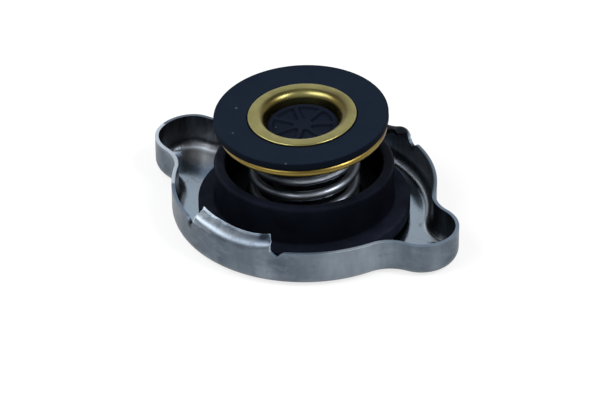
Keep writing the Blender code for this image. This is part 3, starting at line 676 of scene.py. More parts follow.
def fold_rows(angle, x_side, y_side):
    """A tab's column: up the wall, over the bend, and along the shelf to its turned-up lip."""
    rise = tab_rise(angle)
    top = tab_height(angle, x_side, y_side)
    bend = TAB_BENDS[y_side] + (TAB_END_BENDS[x_side] - TAB_BENDS[y_side]) * rise
    slope = math.radians(TAB_SLOPES[y_side]) * (1.0 - rise)
    wall_top = min(NOTCH_BOTTOM + NOTCH_TAB_SIDE, top - bend - BEND_ROOM)
    rows = wall_rows("tab", angle, wall_top)
    for i in range(BEND_ROWS + 1):
        turn = (math.pi / 2 + slope) * i / BEND_ROWS
        shelf_start = bend * (1 - math.cos(turn))
        shelf_level = top - bend * (1 - math.sin(turn))
        rows.append((outline_point("tab", angle, shelf_start), shelf_level))
    for share in SHELF_SHARES:
        across = (TAB_WIDTH - shelf_start) * share
        turned = TAB_SPLAY[x_side] * (90.0 - angle) * share
        lip = TAB_LIP * smooth_step((share - TAB_LIP_START) / TAB_LIP_RISE)
        level = shelf_level - across * math.tan(slope) + lip
        rows.append((outline_point("tab", angle - turned, shelf_start + across), level))
    return rows


# %% The sheet's faces, marked for the outer face and where the inner wall stands
def face_share(kind, row, rows):
    """1 on the crown and the wall, and fading to 0 where a tab's bend turns upwards."""
    past_wall = rows - row - 1 - len(SHELF_SHARES) if kind == "tab" else BEND_ROWS
    return min(max(1.5 * past_wall / BEND_ROWS, 0.0), 1.0)


def inner_mark(row):
    """For the inner face: 1 on the floor of the cap, rising to 2 where the wall stands."""
    return 1.0 + smooth_step((row - CROWN_ROWS + BEND_ROWS) / BEND_ROWS)


# %% The columns, each placed in its quarter of the shell
def shell_column(kind, angle, x_side, y_side):
    rows = crown_rows(kind, angle)
    if kind == "tab":
        rows += fold_rows(angle, x_side, y_side)
    else:
        rim = outline_point(kind, angle, 0)
        top = notch_height(angle) if kind == "notch" else RIM_HEIGHT
        top -= EAR_LOW_RIM * ear_share(rim.x) if x_side > 0 else 0.0
        rows += wall_rows(kind, angle, top)
    column = []
    for point, height in rows:
        back_lift = EAR_BACK_LIFT * smooth_step(point.y * y_side / EAR_RADIUS)
        lift = (EAR_LIFT + back_lift) * ear_share(point.x) if x_side < 0 else 0.0
        column.append(Vector((point.x * x_side, point.y * y_side, height + lift)) * MM)
    return column


def shell_columns():
    """The columns all the way round, each with its kind."""
    quarter = quarter_columns()
    columns = []
    for x_side, y_side in ((1, 1), (-1, 1), (-1, -1), (1, -1)):
        outward = quarter[:-1] if x_side * y_side > 0 else list(reversed(quarter[1:]))
        columns += [(kind, shell_column(kind, angle, x_side, y_side)) for kind, angle in outward]
    return columns


# %% Join the columns to the sheet's outer face
def outer_face(name, columns):
    shape = bmesh.new()
    sheared = shape.verts.layers.float.new("sheared")
    handled = shape.verts.layers.float.new("handled")
    inside = shape.verts.layers.float.new("inside")
    grid = []
    for kind, column in columns:
        grid.append([shape.verts.new(point) for point in column])
        for row, vert in enumerate(grid[-1]):
            vert[handled] = face_share(kind, row, len(column))
            vert[inside] = inner_mark(row)
    for i, column in enumerate(grid):
        following = grid[(i + 1) % len(grid)]
        for k in range(min(len(column), len(following)) - 1):
            shape.faces.new((column[k], following[k], following[k + 1], column[k + 1]))
    for (kind, _), verts in zip(columns, grid):
        lip = verts[-LIP_ROWS:] if kind == "tab" else []
        for vert in verts:
            lipped = vert in lip or (kind == "tab" and vert.co.x > 0)
            sheen = LIP_SHEEN if lipped else RIM_SHEEN
            vert[sheared] = sheen if vert.is_boundary or vert in lip else 0.0
    mesh = bpy.data.meshes.new(name)
    shape.to_mesh(mesh)
    shape.free()
    return mesh


# %% Thicken the sheet and round its edges
def press_shell(name):
    mesh = outer_face(name, shell_columns())
    shell = new_object(name, mesh)
    wall = shell.modifiers.new("Sheet", "SOLIDIFY")
    wall.thickness = SHEET * MM
    wall.offset = -1.0
    wall.use_even_offset = True
    outer_count = len(mesh.vertices)
    plain_mesh(shell)
    marks = shell.data.attributes
    for i in range(len(shell.data.vertices)):
        marks["handled" if i >= outer_count else "inside"].data[i].value = 0.0
    rounding = shell.modifiers.new("Rounded edges", "BEVEL")
    rounding.width = EDGE_ROUND * MM
    rounding.segments = 3
    rounding.limit_method = "ANGLE"
    rounding.angle_limit = math.radians(50)
    plain_mesh(shell)
    return shell


# %% Where painted shade darkens the shell
CURLED_CORNER = Vector((5.9, -20.9, 8.7))
CURL_RADIUS = 0.9
NOTCH_MIDDLE = 90.0 - TAB_HALF_ANGLE - NOTCH_LOW_ANGLE
NOTCH_SHADE = 0.6


def painted_shade_at(spot):
    """Painted shade: near black at the two notch bottoms, at the front tab's curled corner, over the
    inside of the back tab and on the inner wall to its right.
    """
    notch = polar(BODY_RADIUS - SHEET, NOTCH_MIDDLE) * math.copysign(1.0, spot.y)
    from_notch = (spot - Vector((notch.x, notch.y, NOTCH_BOTTOM))).length
    in_notch = smooth_step(2.0 - from_notch / NOTCH_SHADE)
    if spot.y < 0:
        in_curl = smooth_step(1.6 - (spot - CURLED_CORNER).length / CURL_RADIUS)
        return max(0.95 * in_notch, 0.85 * in_curl)
    in_tab = smooth_step(spot.z - NOTCH_BOTTOM)
    right_wall = 0.6 * smooth_step((spot.z - CROWN_BEND) / 2.0) * smooth_step(spot.x / 5.0)
    within = smooth_step((BODY_RADIUS - 0.3 - spot.xy.length) / 0.5)
    return max(0.9 * in_notch, max(in_tab, right_wall) * within)


# %% Painted light on the skirt: each place, its reach and how much brighter it is drawn
TAB_HIGHLIGHT = 0.72
TAB_HIGHLIGHT_END = 1.5
TAB_HIGHLIGHT_FADE = 9.0
LIGHT_PATCHES = (
    (20.3, -13.2, 4.0, 8.5, 0.55), (30.9, -3.6, 4.0, 3.5, 0.16), (32.1, 0.3, 4.0, 5.0, -0.24),
    (-22.8, -9.0, 4.0, 4.5, -0.24), (-7.5, -22.6, 4.0, 14.0, -0.13), (9.3, -22.2, 4.8, 2.4, -0.2),
    (7.4, -22.9, 2.2, 2.8, 0.3), (2.5, -24.0, 2.0, 2.4, 0.16),
)


def painted_light_at(spot):
    """Painted light: how bright the skirt's outer face is drawn, place by place, and a painted
    highlight on the front tab's left.
    """
    shine = SKIRT_LIGHT_LEVEL
    if spot.z > RIM_HEIGHT:
        on_left = smooth_step((TAB_HIGHLIGHT_END - spot.x) / TAB_HIGHLIGHT_FADE)
        return shine + TAB_HIGHLIGHT * on_left * (spot.y < 0)
    for *center, reach, change in LIGHT_PATCHES:
        shine += change * smooth_step(1.5 * (1.0 - (spot - Vector(center)).length / reach))
    return shine


# %% Press the shell
pressed_shell = press_shell("pressed_shell")
# Painted light on the outer face and the front tab, then painted shade at the notches, a corner and
# the back tab
mark_points(pressed_shell, painted_light_at, "polished")
mark_points(pressed_shell, painted_shade_at)
belong(pressed_shell, "shell", "plated_steel")

# %% [markdown]
# ## Turned and drawn pieces
# Twelve pieces start as turned shapes: the rivet, the cups and discs, the rubber mouldings. Each is
# a profile, a list of corners with the radius that rounds each corner, spun about the axis. The
# rounding matters: a pressed or moulded edge is never sharp, and it is what catches the light.

# %% Round a profile's corners and spin it
TURN_STEPS = 168
CORNER_STEPS = 4


def rounded(corners, steps=CORNER_STEPS):
    """The profile with an arc at each corner that has a radius. A corner is (r, height, radius)."""
    points = []
    for i, (r, h, radius) in enumerate(corners):
        here = Vector((r, h))
        if radius == 0:
            points.append(here)
            continue
        before = Vector(corners[i - 1][:2]) - here
        after = Vector(corners[(i + 1) % len(corners)][:2]) - here
        half = before.angle(after) / 2
        reach = radius / math.tan(half)
        start, end = here + before.normalized() * reach, here + after.normalized() * reach
        inward = (before.normalized() + after.normalized()).normalized()
        center = here + inward * radius / math.sin(half)
        first, last = start - center, end - center
        turn = first.angle_signed(last, 0.0)
        for k in range(steps + 1):
            points.append(center + Matrix.Rotation(-turn * k / steps, 2) @ first)
    return points


def spin(name, points, steps=TURN_STEPS, place=Matrix.Identity(4)):
    """A closed ring from a profile loop, or a closed solid where the profile touches the axis."""
    on_axis = [point.x < 1e-6 for point in points]
    shape = bmesh.new()
    rings = []
    for point, center in zip(points, on_axis):
        count = 1 if center else steps
        ring = []
        for i in range(count):
            spot = polar(max(point.x, 0.0), 360.0 * i / steps)
            ring.append(shape.verts.new(place @ (Vector((spot.x, spot.y, point.y)) * MM)))
        rings.append(ring)
    for k, ring in enumerate(rings):
        following = rings[(k + 1) % len(rings)]
        if len(ring) == 1 and len(following) == 1:
            continue
        for i in range(steps):
            j = (i + 1) % steps
            loop = [ring[i % len(ring)], following[i % len(following)]]
            loop += [following[j % len(following)], ring[j % len(ring)]]
            shape.faces.new(list(dict.fromkeys(loop)))
    bmesh.ops.recalc_face_normals(shape, faces=shape.faces[:])
    mesh = bpy.data.meshes.new(name)
    shape.to_mesh(mesh)
    shape.free()
    return new_object(name, mesh)


# %% [markdown]
# ## The insert: rivet, spring disc, neck gasket and spring seat
# The rivet's flat head shows on the crown. Inside, the disc presses the gasket's flange on the
# filler neck, and the stepped seat clamps the gasket's inner lip and carries the spring.

# %% Levels of the stack, in millimetres
GAP = 0.05
BOSS_TOP = RECESS_DEPTH + SHEET
DISC_SHEET = 0.4
DISC_TOP = BOSS_TOP + GAP + DISC_SHEET
STACK = DISC_TOP + GAP
SEAT_TOP = STACK + 0.7
FLANGE_TOP = STACK + 1.7
STOP_HEIGHT = 7.9

# %% The rivet and the spring disc
rivet = [
    (0, 9.1, 0), (4.0, 9.1, 0.55), (4.0, STOP_HEIGHT, 0.12), (1.6, STOP_HEIGHT, 0.1),
    (1.6, SEAT_TOP + 0.45, 0.1), (3.3, SEAT_TOP + 0.45, 0.12), (3.3, SEAT_TOP + 0.05, 0.05),
    (1.9, SEAT_TOP + 0.05, 0), (1.9, 0.75, 0.1), (3.8, 0.75, 0.06), (3.8, 0.15, 0.3), (0, 0.15, 0),
]
headed_rivet = spin("headed_rivet", rounded(rivet))
# Painted shade: the rivet is drawn near black above its outside head
mark_points(headed_rivet, lambda spot: smooth_step(spot.z - 0.8))
belong(headed_rivet, "centre_rivet", "plated_steel")

DISC_FLAT = 7.2
DISC_RADIUS = 17.8
DISC_DIP = 0.4
DISC_STEPS = 24
RIVET_HOLE = 1.95
top = [(RIVET_HOLE, DISC_TOP)]
for i in range(DISC_STEPS + 1):
    share = i / DISC_STEPS
    dip = DISC_DIP * math.sin(math.pi * share) ** 2
    top.append((DISC_FLAT + (DISC_RADIUS - DISC_FLAT) * share, DISC_TOP - dip))
outline = [Vector(point) for point in top]
outline += [Vector((r, h - DISC_SHEET)) for r, h in reversed(top)]
belong(spin("dished_spring_disc", outline), "spring_disc", "spring_steel")

# %% The neck gasket. Its flange hangs a little lower outside the spring disc
COLLAR_TOP = 11.4
COLLAR_RADIUS = 16.35
COLLAR_BORE = 14.25
FLANGE_RADIUS = 19.3
FLANGE_SAG = 0.7
SAG_START = 18.2
LIP_BORE = 11.3
LIP_TOP = STACK + 1.5
SIDEWAYS = 35.0
gasket = [
    (COLLAR_RADIUS, COLLAR_TOP, 0.75), (COLLAR_RADIUS, FLANGE_TOP, 0.5),
    (FLANGE_RADIUS, FLANGE_TOP, 0.32), (FLANGE_RADIUS, STACK - FLANGE_SAG, 0.32),
    (SAG_START, STACK - FLANGE_SAG, 0.3), (SAG_START, STACK, 0.2), (LIP_BORE, STACK, 0.1),
    (LIP_BORE, LIP_TOP, 0.1), (COLLAR_BORE, LIP_TOP, 0.3), (COLLAR_BORE, COLLAR_TOP, 0.75),
]
moulded_gasket = spin("moulded_neck_gasket", rounded(gasket, 6))


def along_view(spot):
    """-1 on the side of the axis that the photograph has at its left, and 1 at its right."""
    return spot.xy.normalized().dot(polar(1.0, SIDEWAYS))


def flange_sheen(spot):
    """Painted sheen: the flange is drawn lighter and bluer, most at the two sides that lie across the
    view and less at the front and back, and so is the lip's top.
    """
    open_side = smooth_step(abs(along_view(spot)) * 1.5 - 0.4)
    on_flange = smooth_step((spot.xy.length - COLLAR_RADIUS) / 0.8)
    on_lip = smooth_step((spot.z - COLLAR_TOP + 0.7) / 0.5)
    return max(on_flange * (0.25 + 0.6 * open_side), on_lip * (0.15 + 0.35 * open_side))


# Painted sheen on the flange and the lip's top
mark_points(moulded_gasket, flange_sheen)
belong(moulded_gasket, "neck_gasket", "black_rubber")

# %% The spring seat
SEAT_STEP = 10.55
SEAT_WALL = 0.7
SEAT_BRIM = LIP_TOP + GAP
SEAT_RADIUS = 14.1
seat = [
    (RIVET_HOLE, SEAT_TOP, 0.05), (SEAT_STEP - 0.1, SEAT_TOP, 0.05), (SEAT_STEP, SEAT_TOP + 0.14, 0),
    (SEAT_STEP, SEAT_BRIM + SEAT_WALL, 0.12), (SEAT_RADIUS, SEAT_BRIM + SEAT_WALL, 0.1),
    (SEAT_RADIUS, SEAT_BRIM, 0.1), (SEAT_STEP + SEAT_WALL, SEAT_BRIM, 0.05),
    (SEAT_STEP + SEAT_WALL, STACK, 0.14), (RIVET_HOLE, STACK, 0.05),
]
stepped_seat = spin("stepped_spring_seat", rounded(seat))
# Painted shade: the whole seat is drawn near black
mark_points(stepped_seat, lambda spot: 1.0)
belong(stepped_seat, "spring_seat", "plated_steel")

# %% [markdown]
# ## The valve hangs a little askew
# In the photograph the valve leans on its rivet by a few degrees. One matrix carries that lean
# about the underside of the rivet's stop head, and every piece of the valve is placed with it.

# %% The valve's own axis
VALVE_LEAN = 3.5
LEAN_TOWARD = 255.0
VALVE_SHIFT = 0.3
SHIFT_TOWARD = 35.0
lean_way = polar(1.0, LEAN_TOWARD)
lean_axis = Vector((-lean_way.y, lean_way.x, 0.0))
valve_shift = polar(VALVE_SHIFT, SHIFT_TOWARD)
valve_place = Matrix.Translation(Vector((valve_shift.x, valve_shift.y, STOP_HEIGHT)) * MM)
valve_place = valve_place @ Matrix.Rotation(math.radians(VALVE_LEAN), 4, lean_axis)
print("valve axis:", [round(v, 4) for v in valve_place.col[2][:3]])

# %% The plate with its rolled bead
PLATE_TOP = 11.74
PLATE_UNDER = 11.2
PLATE_RADIUS = 15.2
BEAD = 1.5
BORE = 7.35
plate = [
    (PLATE_RADIUS, PLATE_TOP, 0.74), (PLATE_RADIUS, PLATE_TOP - BEAD, 0.74),
    (PLATE_RADIUS - BEAD, PLATE_TOP - BEAD, 0.35), (PLATE_RADIUS - BEAD, PLATE_UNDER, 0.1),
    (BORE, PLATE_UNDER, 0.1), (BORE, PLATE_TOP, 0.1),
]
rolled_plate = spin("rolled_valve_plate", rounded(plate, 8), place=valve_place)
# Painted shade: the band is drawn darker, most at its right end
mark_points(rolled_plate, lambda spot: 0.5 + 0.5 * smooth_step((along_view(spot) - 0.85) / 0.1))
mark_points(rolled_plate, lambda spot: 1.0, "golden")
belong(rolled_plate, "valve_plate", "brass")

# %% The rubber washer, set a little off the plate's centre
WASHER_TOP = 13.35
WASHER_LOW = 11.79
WASHER_BORE = 8.8
WASHER_RADIUS = 15.75
PRESSED_RADIUS = 9.85
PRESSED_DEPTH = 0.2
PRESSED_EDGE = 0.22
WASHER_RINGS = 60
washer_offset = polar(0.66, 145.0)


def press_washer(name):
    """A fine turned washer, then its top is pressed down under the eyelet, about the valve's axis."""
    step = (WASHER_RADIUS - 0.5 - WASHER_BORE) / WASHER_RINGS
    across = [WASHER_BORE + 0.1 + step * i for i in range(WASHER_RINGS + 1)]
    corners = [(WASHER_RADIUS, WASHER_TOP, 0.26), (WASHER_RADIUS, WASHER_LOW, 0.26)]
    corners += [(WASHER_BORE, WASHER_LOW, 0.1), (WASHER_BORE, WASHER_TOP, 0.1)]
    points = rounded(corners) + [Vector((r, WASHER_TOP)) for r in across[1:-1]]
    washer = spin(name, points)
    for vert in washer.data.vertices:
        spot = vert.co / MM
        spot.x += washer_offset.x
        spot.y += washer_offset.y
        if spot.z > WASHER_TOP - 0.3:
            inward = PRESSED_RADIUS + PRESSED_EDGE - spot.xy.length
            spot.z -= PRESSED_DEPTH * smooth_step(inward / PRESSED_EDGE)
        vert.co = valve_place @ (spot * MM)
    return washer


def edge_shade(spot):
    """Painted shade: the washer's edge is drawn darker than its face, which is dusty."""
    upright = valve_upright @ (spot * MM)
    return 0.65 * smooth_step((WASHER_TOP - upright.z / MM) / 0.3)


seal_washer = press_washer("seal_washer")
valve_upright = valve_place.inverted()
mark_points(seal_washer, edge_shade, "shaded")
belong(seal_washer, "pressure_gasket", "seal_rubber")

# %% The drawn eyelet
EYELET_TOP = 13.65
EYELET_RADIUS = 9.8
THROAT = 6.85
EYELET_SHEET = 0.45
EYELET_END = 9.55
eyelet = [
    (EYELET_RADIUS, EYELET_TOP, 0.22), (EYELET_RADIUS, EYELET_TOP - EYELET_SHEET, 0.22),
    (THROAT + EYELET_SHEET, EYELET_TOP - EYELET_SHEET, 1.0), (THROAT + EYELET_SHEET, EYELET_END, 0.05),
    (THROAT, EYELET_END, 0.05), (THROAT, EYELET_TOP, 1.45),
]
drawn_eyelet = spin("drawn_eyelet", rounded(eyelet, 12), place=valve_place)


def throat_shade(spot):
    """Painted shade: the throat is drawn darker on the two sides that lie across the view, and not
    between them.
    """
    in_throat = 1.0 - smooth_step(spot.xy.length - THROAT - 0.6)
    return in_throat * smooth_step(abs(along_view(spot)) * 1.25 - 0.1)


mark_points(drawn_eyelet, throat_shade)
belong(drawn_eyelet, "eyelet", "brass")

# %% [markdown]
# ## Wound springs with Geometry Nodes
# A spring follows a rule: the angle and the height of a point depend only on how many turns it is
# from the foot. The tree below makes a line of points, moves each one by that rule and sweeps a
# round wire along it. The ends are wound close, so that the spring stands square. The main spring
# also leans more with height, because its foot is square on the seat and its top under the plate.
# The sizes are the tree's inputs, and the same tree winds the small vacuum spring.


# %% Trees with named inputs
def new_tree(name, inputs):
    tree = bpy.data.node_groups.new(name, "GeometryNodeTree")
    tree.interface.new_socket("Geometry", in_out="INPUT", socket_type="NodeSocketGeometry")
    for label, kind in inputs.items():
        tree.interface.new_socket(label, in_out="INPUT", socket_type="NodeSocket" + kind)
    tree.interface.new_socket("Geometry", in_out="OUTPUT", socket_type="NodeSocketGeometry")
    entry = tree.nodes.new("NodeGroupInput")
    wires = {label: Wire(tree, entry.outputs[label]) for label in ["Geometry", *inputs]}
    return tree, wires


def end_tree(geometry, finish):
    geometry = geometry.node("GeometryNodeRealizeInstances", None, {"Geometry": geometry})
    finished = {"Geometry": geometry, "Material": finish}
    geometry = geometry.node("GeometryNodeSetMaterial", None, finished)
    geometry.node("NodeGroupOutput", None, {"Geometry": geometry})


def run_tree(tree, carrier, values):
    """Sets the tree's inputs by their identifiers, makes the result plain and drops the modifier."""
    modifier = carrier.modifiers.new(tree.name, "NODES")
    modifier.node_group = tree
    for item in tree.interface.items_tree:
        if item.in_out == "INPUT" and item.name in values:
            modifier[item.identifier] = values[item.name]
    plain_mesh(carrier)
    return carrier


# %% The winding tree. A close-wound turn rises by a little more than the wire's thickness
CLOSE_RISE = 2.06


def circle_point(radius, angle):
    return radius * angle.math("COSINE"), radius * angle.math("SINE")


def winding_tree():
    sizes = ("Wire Radius", "Coil Radius", "Foot", "Top", "Shift", "Pivot", "Closed Turns")
    sizes += ("Active Turns", "Start", "Lean", "Lean Toward", "Shift Toward")
    inputs = {**{name: "Float" for name in sizes}, "Points": "Int", "Finish": "Material"}
    tree, given = new_tree("wound_spring", inputs)
    wire, closed, active = given["Wire Radius"], given["Closed Turns"], given["Active Turns"]
    foot, top, points = given["Foot"], given["Top"], given["Points"]
    line = wire.node("GeometryNodeMeshLine", None, {"Count": points})
    share = wire.node("GeometryNodeInputIndex") / (points - 1.0)
    turns = share * (closed * 2.0 + active)
    middle = (turns - closed).limited(0.0, active)
    close_rise = wire * CLOSE_RISE
    pitch = (top - foot - closed * 2.0 * close_rise) / active
    height = foot + (turns - middle) * close_rise + middle * pitch
    lean_share = (height - foot) / (top - foot)
    across, down = circle_point(given["Coil Radius"], given["Start"] + turns * math.tau)
    upright = wire.joined(across, down, height - given["Pivot"])
    toward = given["Lean Toward"]
    axis = wire.joined(0.0 - toward.math("SINE"), toward.math("COSINE"), 0.0)
    turn = {"Vector": upright, "Axis": axis, "Angle": given["Lean"] * lean_share}
    leaned = wire.node("ShaderNodeVectorRotate", {"rotation_type": "AXIS_ANGLE"}, turn)
    across, down = circle_point(given["Shift"] * lean_share, given["Shift Toward"])
    moved = wire.joined(across, down, given["Pivot"])
    place = wire.node("ShaderNodeVectorMath", {"operation": "ADD"}, {0: leaned, 1: moved})
    line = wire.node("GeometryNodeSetPosition", None, {"Geometry": line, "Position": place})
    path = wire.node("GeometryNodeMeshToCurve", None, {0: line})
    ring = wire.node("GeometryNodeCurvePrimitiveCircle", None, {"Resolution": 24, "Radius": wire})
    swept = {"Curve": path, "Profile Curve": ring, "Fill Caps": True}
    end_tree(wire.node("GeometryNodeCurveToMesh", None, swept), given["Finish"])
    return tree


def wind(name, values):
    spring = new_object(name, bpy.data.meshes.new(name))
    return run_tree(winding, spring, values)


winding = winding_tree()

# %% Wind the main spring
WIRE = 0.9
# Painted shade: the side of the wire that is drawn dark
SHADED_SIDE = 230.0
main_spring = wind("wound_main_spring", {
    "Wire Radius": WIRE * MM, "Coil Radius": 9.2 * MM,
    "Foot": (SEAT_TOP + GAP + WIRE) * MM, "Top": (STOP_HEIGHT + PLATE_UNDER - GAP - WIRE) * MM,
    "Closed Turns": 0.9, "Active Turns": 3.25, "Start": math.radians(240.0), "Points": 420,
    "Lean": math.radians(VALVE_LEAN), "Lean Toward": math.radians(LEAN_TOWARD),
    "Shift": VALVE_SHIFT * MM, "Shift Toward": math.radians(SHIFT_TOWARD),
    "Pivot": STOP_HEIGHT * MM, "Finish": FINISHES["spring_steel"],
})
shaded_way = polar(1.0, SHADED_SIDE)


def wire_shade(spot):
    """Painted shade: the wire is drawn dark on one side, and dim on both sides that lie across the
    view.
    """
    beside = smooth_step((abs(along_view(spot)) - 0.5) / 0.35)
    toward_shade = spot.xy.normalized().dot(shaded_way)
    return max(smooth_step(toward_shade * 1.5 - 0.1), 0.85 * beside)


mark_points(main_spring, wire_shade)
belong(main_spring, "main_spring", "spring_steel")

# %% [markdown]
# ## The cage and the drilled seat
# The cage is a stepped cup that hangs from the plate and hooks under the rivet's stop head. Its
# four windows and the seat's six flow holes repeat round the axis, so one tree cuts both: it puts
# a cutter on each point of a circle and takes them all away with one Boolean.


# %% A tree that cuts holes round the axis. The exact solver leaves no open edges
DRILL_SIDES = 32
DRILL_LENGTH = 4.0


def cutting_tree(name, cutter):
    inputs = {"Count": "Int", "Circle": "Float", "Phase": "Float", "Height": "Float"}
    inputs.update({"Size": "Vector" if cutter == "window" else "Float", "Finish": "Material"})
    tree, given = new_tree(name, inputs)
    count, circle = given["Count"], given["Circle"]
    spots = count.node("GeometryNodeMeshLine", None, {"Count": count})
    angle = given["Phase"] + count.node("GeometryNodeInputIndex") * math.tau / count
    across, down = circle_point(circle, angle)
    place = count.joined(across, down, given["Height"])
    spots = count.node("GeometryNodeSetPosition", None, {"Geometry": spots, "Position": place})
    if cutter == "window":
        tool = count.node("GeometryNodeMeshCube", None, {"Size": given["Size"]})
    else:
        drill = {"Vertices": DRILL_SIDES, "Radius": given["Size"], "Depth": DRILL_LENGTH * MM}
        tool = count.node("GeometryNodeMeshCylinder", None, drill)
    placed = {"Points": spots, "Instance": tool, "Rotation": count.joined(0.0, 0.0, angle)}
    tools = count.node("GeometryNodeInstanceOnPoints", None, placed)
    tools = count.node("GeometryNodeRealizeInstances", None, {"Geometry": tools})
    taken_away = {"operation": "DIFFERENCE", "solver": "EXACT"}
    cut = count.node("GeometryNodeMeshBoolean", taken_away, {0: given["Geometry"], 1: tools})
    end_tree(cut, given["Finish"])
    return tree


# %% Cut the cage's windows
CAGE_SHEET = 0.5
CAGE_TOP = PLATE_UNDER - GAP
CAGE_BRIM = 8.27
CUP_RADIUS = 6.1
LEDGE = 8.95
CAGE_FLOOR = -0.35
cage = [
    (CAGE_BRIM, CAGE_TOP, 0.08), (CAGE_BRIM, CAGE_TOP - CAGE_SHEET, 0.08),
    (BORE + CAGE_SHEET, CAGE_TOP - CAGE_SHEET, 0.1), (BORE + CAGE_SHEET, LEDGE - CAGE_SHEET, 0.3),
    (CUP_RADIUS, LEDGE - CAGE_SHEET, 0.12), (CUP_RADIUS, CAGE_FLOOR - CAGE_SHEET, 0.3),
    (2.7, CAGE_FLOOR - CAGE_SHEET, 0.08), (2.7, CAGE_FLOOR, 0.08),
    (CUP_RADIUS - CAGE_SHEET, CAGE_FLOOR, 0.15), (CUP_RADIUS - CAGE_SHEET, LEDGE, 0.12),
    (BORE, LEDGE, 0.15), (BORE, CAGE_TOP, 0.08),
]
slotted_cage = spin("slotted_valve_cage", rounded(cage), 128)
run_tree(cutting_tree("window_cutter", "window"), slotted_cage, {
    "Count": 4, "Circle": 5.9 * MM, "Phase": math.radians(45.0), "Height": 4.0 * MM,
    "Size": (4.6 * MM, 4.4 * MM, 4.8 * MM), "Finish": FINISHES["plated_steel"],
})
slotted_cage.data.transform(valve_place)
# Painted shade: the whole cage is drawn near black
mark_points(slotted_cage, lambda spot: 1.0)
belong(slotted_cage, "valve_cage", "plated_steel")

# %% Drill the vacuum seat's flow holes
seat_plate = [(7.3, 9.5, 0.08), (7.3, 9.0, 0.08), (0.85, 9.0, 0.05), (0.85, 9.5, 0.05)]
drilled_seat = spin("drilled_vacuum_seat", rounded(seat_plate), 128)
run_tree(cutting_tree("hole_cutter", "hole"), drilled_seat, {
    "Count": 6, "Circle": 3.9 * MM, "Phase": math.radians(23.0), "Height": 9.25 * MM,
    "Size": 0.85 * MM, "Finish": FINISHES["brass"],
})
drilled_seat.data.transform(valve_place)
belong(drilled_seat, "vacuum_seat", "brass")

# %% [markdown]
# ## The vacuum valve's face
# Seven pockets lie between seven ribs, an outer wall and a hub. The face is a fine disc, and a tree
# lowers each point by a rule: how far it is from the nearest rib's middle line and from the two
# circles. The walls come out slightly sloped and rounded, as they leave a mould.

# %% A tree that presses the pockets
POCKETS = 7
POCKET_ROUND = 0.2
FACE_RADIUS = 6.15
FACE_RINGS = 100
VACUUM_RADIUS = 6.4
VACUUM_TOP = 11.45
VACUUM_LOW = 9.55


def pocket_tree():
    lengths = ("Depth", "Rib Width", "Inner", "Outer", "Slope", "Level")
    inputs = {"Pockets": "Int", "Phase": "Float", **{name: "Float" for name in lengths}}
    tree, given = new_tree("pocket_press", {**inputs, "Finish": "Material"})
    spot = given["Depth"].node("GeometryNodeInputPosition")
    x, y, z = split(spot)
    radius = (x * x + y * y) ** 0.5
    part = math.tau / given["Pockets"]
    angle = y.math("ARCTAN2", x) - given["Phase"]
    from_rib = angle - part * (angle / part).math("ROUND")
    inside = radius * from_rib.math("SINE").math("ABSOLUTE") - given["Rib Width"] / 2.0
    for from_circle in (radius - given["Inner"], given["Outer"] - radius):
        inside = inside.math("SMOOTH_MIN", from_circle, POCKET_ROUND * MM)
    sunk = (inside / given["Slope"]).limited(0.0, 1.0)
    sunk = sunk * sunk * (3.0 - sunk * 2.0)
    face = z.math("GREATER_THAN", given["Level"])
    drop = x.joined(0.0, 0.0, 0.0 - sunk * face * given["Depth"])
    pressed = {"Geometry": given["Geometry"], "Offset": drop}
    end_tree(x.node("GeometryNodeSetPosition", None, pressed), given["Finish"])
    return tree


# %% Press the vacuum valve
face_rings = [Vector((FACE_RADIUS * i / FACE_RINGS, VACUUM_TOP)) for i in range(FACE_RINGS + 1)]
body = [(VACUUM_RADIUS, VACUUM_TOP, 0.2), (VACUUM_RADIUS, VACUUM_LOW, 0.06), (1.3, VACUUM_LOW, 0.06)]
body = rounded([(0, VACUUM_TOP, 0)] + body + [(1.3, 10.2, 0), (0, 10.2, 0)])[1:]
pocketed_valve = spin("pocketed_vacuum_valve", face_rings + body, 392)
run_tree(pocket_tree(), pocketed_valve, {
    "Pockets": POCKETS, "Phase": math.radians(35.2), "Depth": 0.55 * MM, "Rib Width": 0.7 * MM,
    "Inner": 1.65 * MM, "Outer": 5.55 * MM, "Slope": 0.14 * MM, "Level": (VACUUM_TOP - 0.02) * MM,
    "Finish": FINISHES["valve_moulding"],
})
pocketed_valve.data.transform(valve_place)
belong(pocketed_valve, "vacuum_valve", "valve_moulding")

# %% The stem, its keeper and the vacuum spring
stem = [
    (0, 10.15, 0), (1.25, 10.15, 0.1), (1.25, VACUUM_LOW, 0.05), (0.7, VACUUM_LOW, 0.05),
    (0.7, 5.25, 0.05), (1.05, 5.25, 0.05), (1.05, 4.85, 0.25), (0, 4.85, 0),
]
belong(spin("vacuum_valve_stem", rounded(stem), 48, valve_place), "vacuum_stem", "brass")

keeper = [
    (2.2, 6.3, 0.06), (2.6, 6.3, 0.06), (2.6, 5.3, 0.2), (0.75, 5.3, 0.05), (0.75, 5.7, 0.05),
    (2.2, 5.7, 0.1),
]
belong(spin("dished_keeper", rounded(keeper), 64, valve_place), "vacuum_keeper", "brass")

vacuum_spring = wind("wound_vacuum_spring", {
    "Wire Radius": 0.16 * MM, "Coil Radius": 1.99 * MM, "Foot": 5.91 * MM, "Top": 8.79 * MM,
    "Closed Turns": 1.0, "Active Turns": 3.0, "Start": 0.0, "Points": 240, "Lean": 0.0,
    "Lean Toward": 0.0, "Shift": 0.0, "Shift Toward": 0.0, "Pivot": 0.0,
    "Finish": FINISHES["spring_steel"],
})
vacuum_spring.data.transform(valve_place)
belong(vacuum_spring, "vacuum_spring", "spring_steel")

# %% [markdown]
# ## How far the springs would shorten as the valves open
# A rigid spring would poke through the plate.

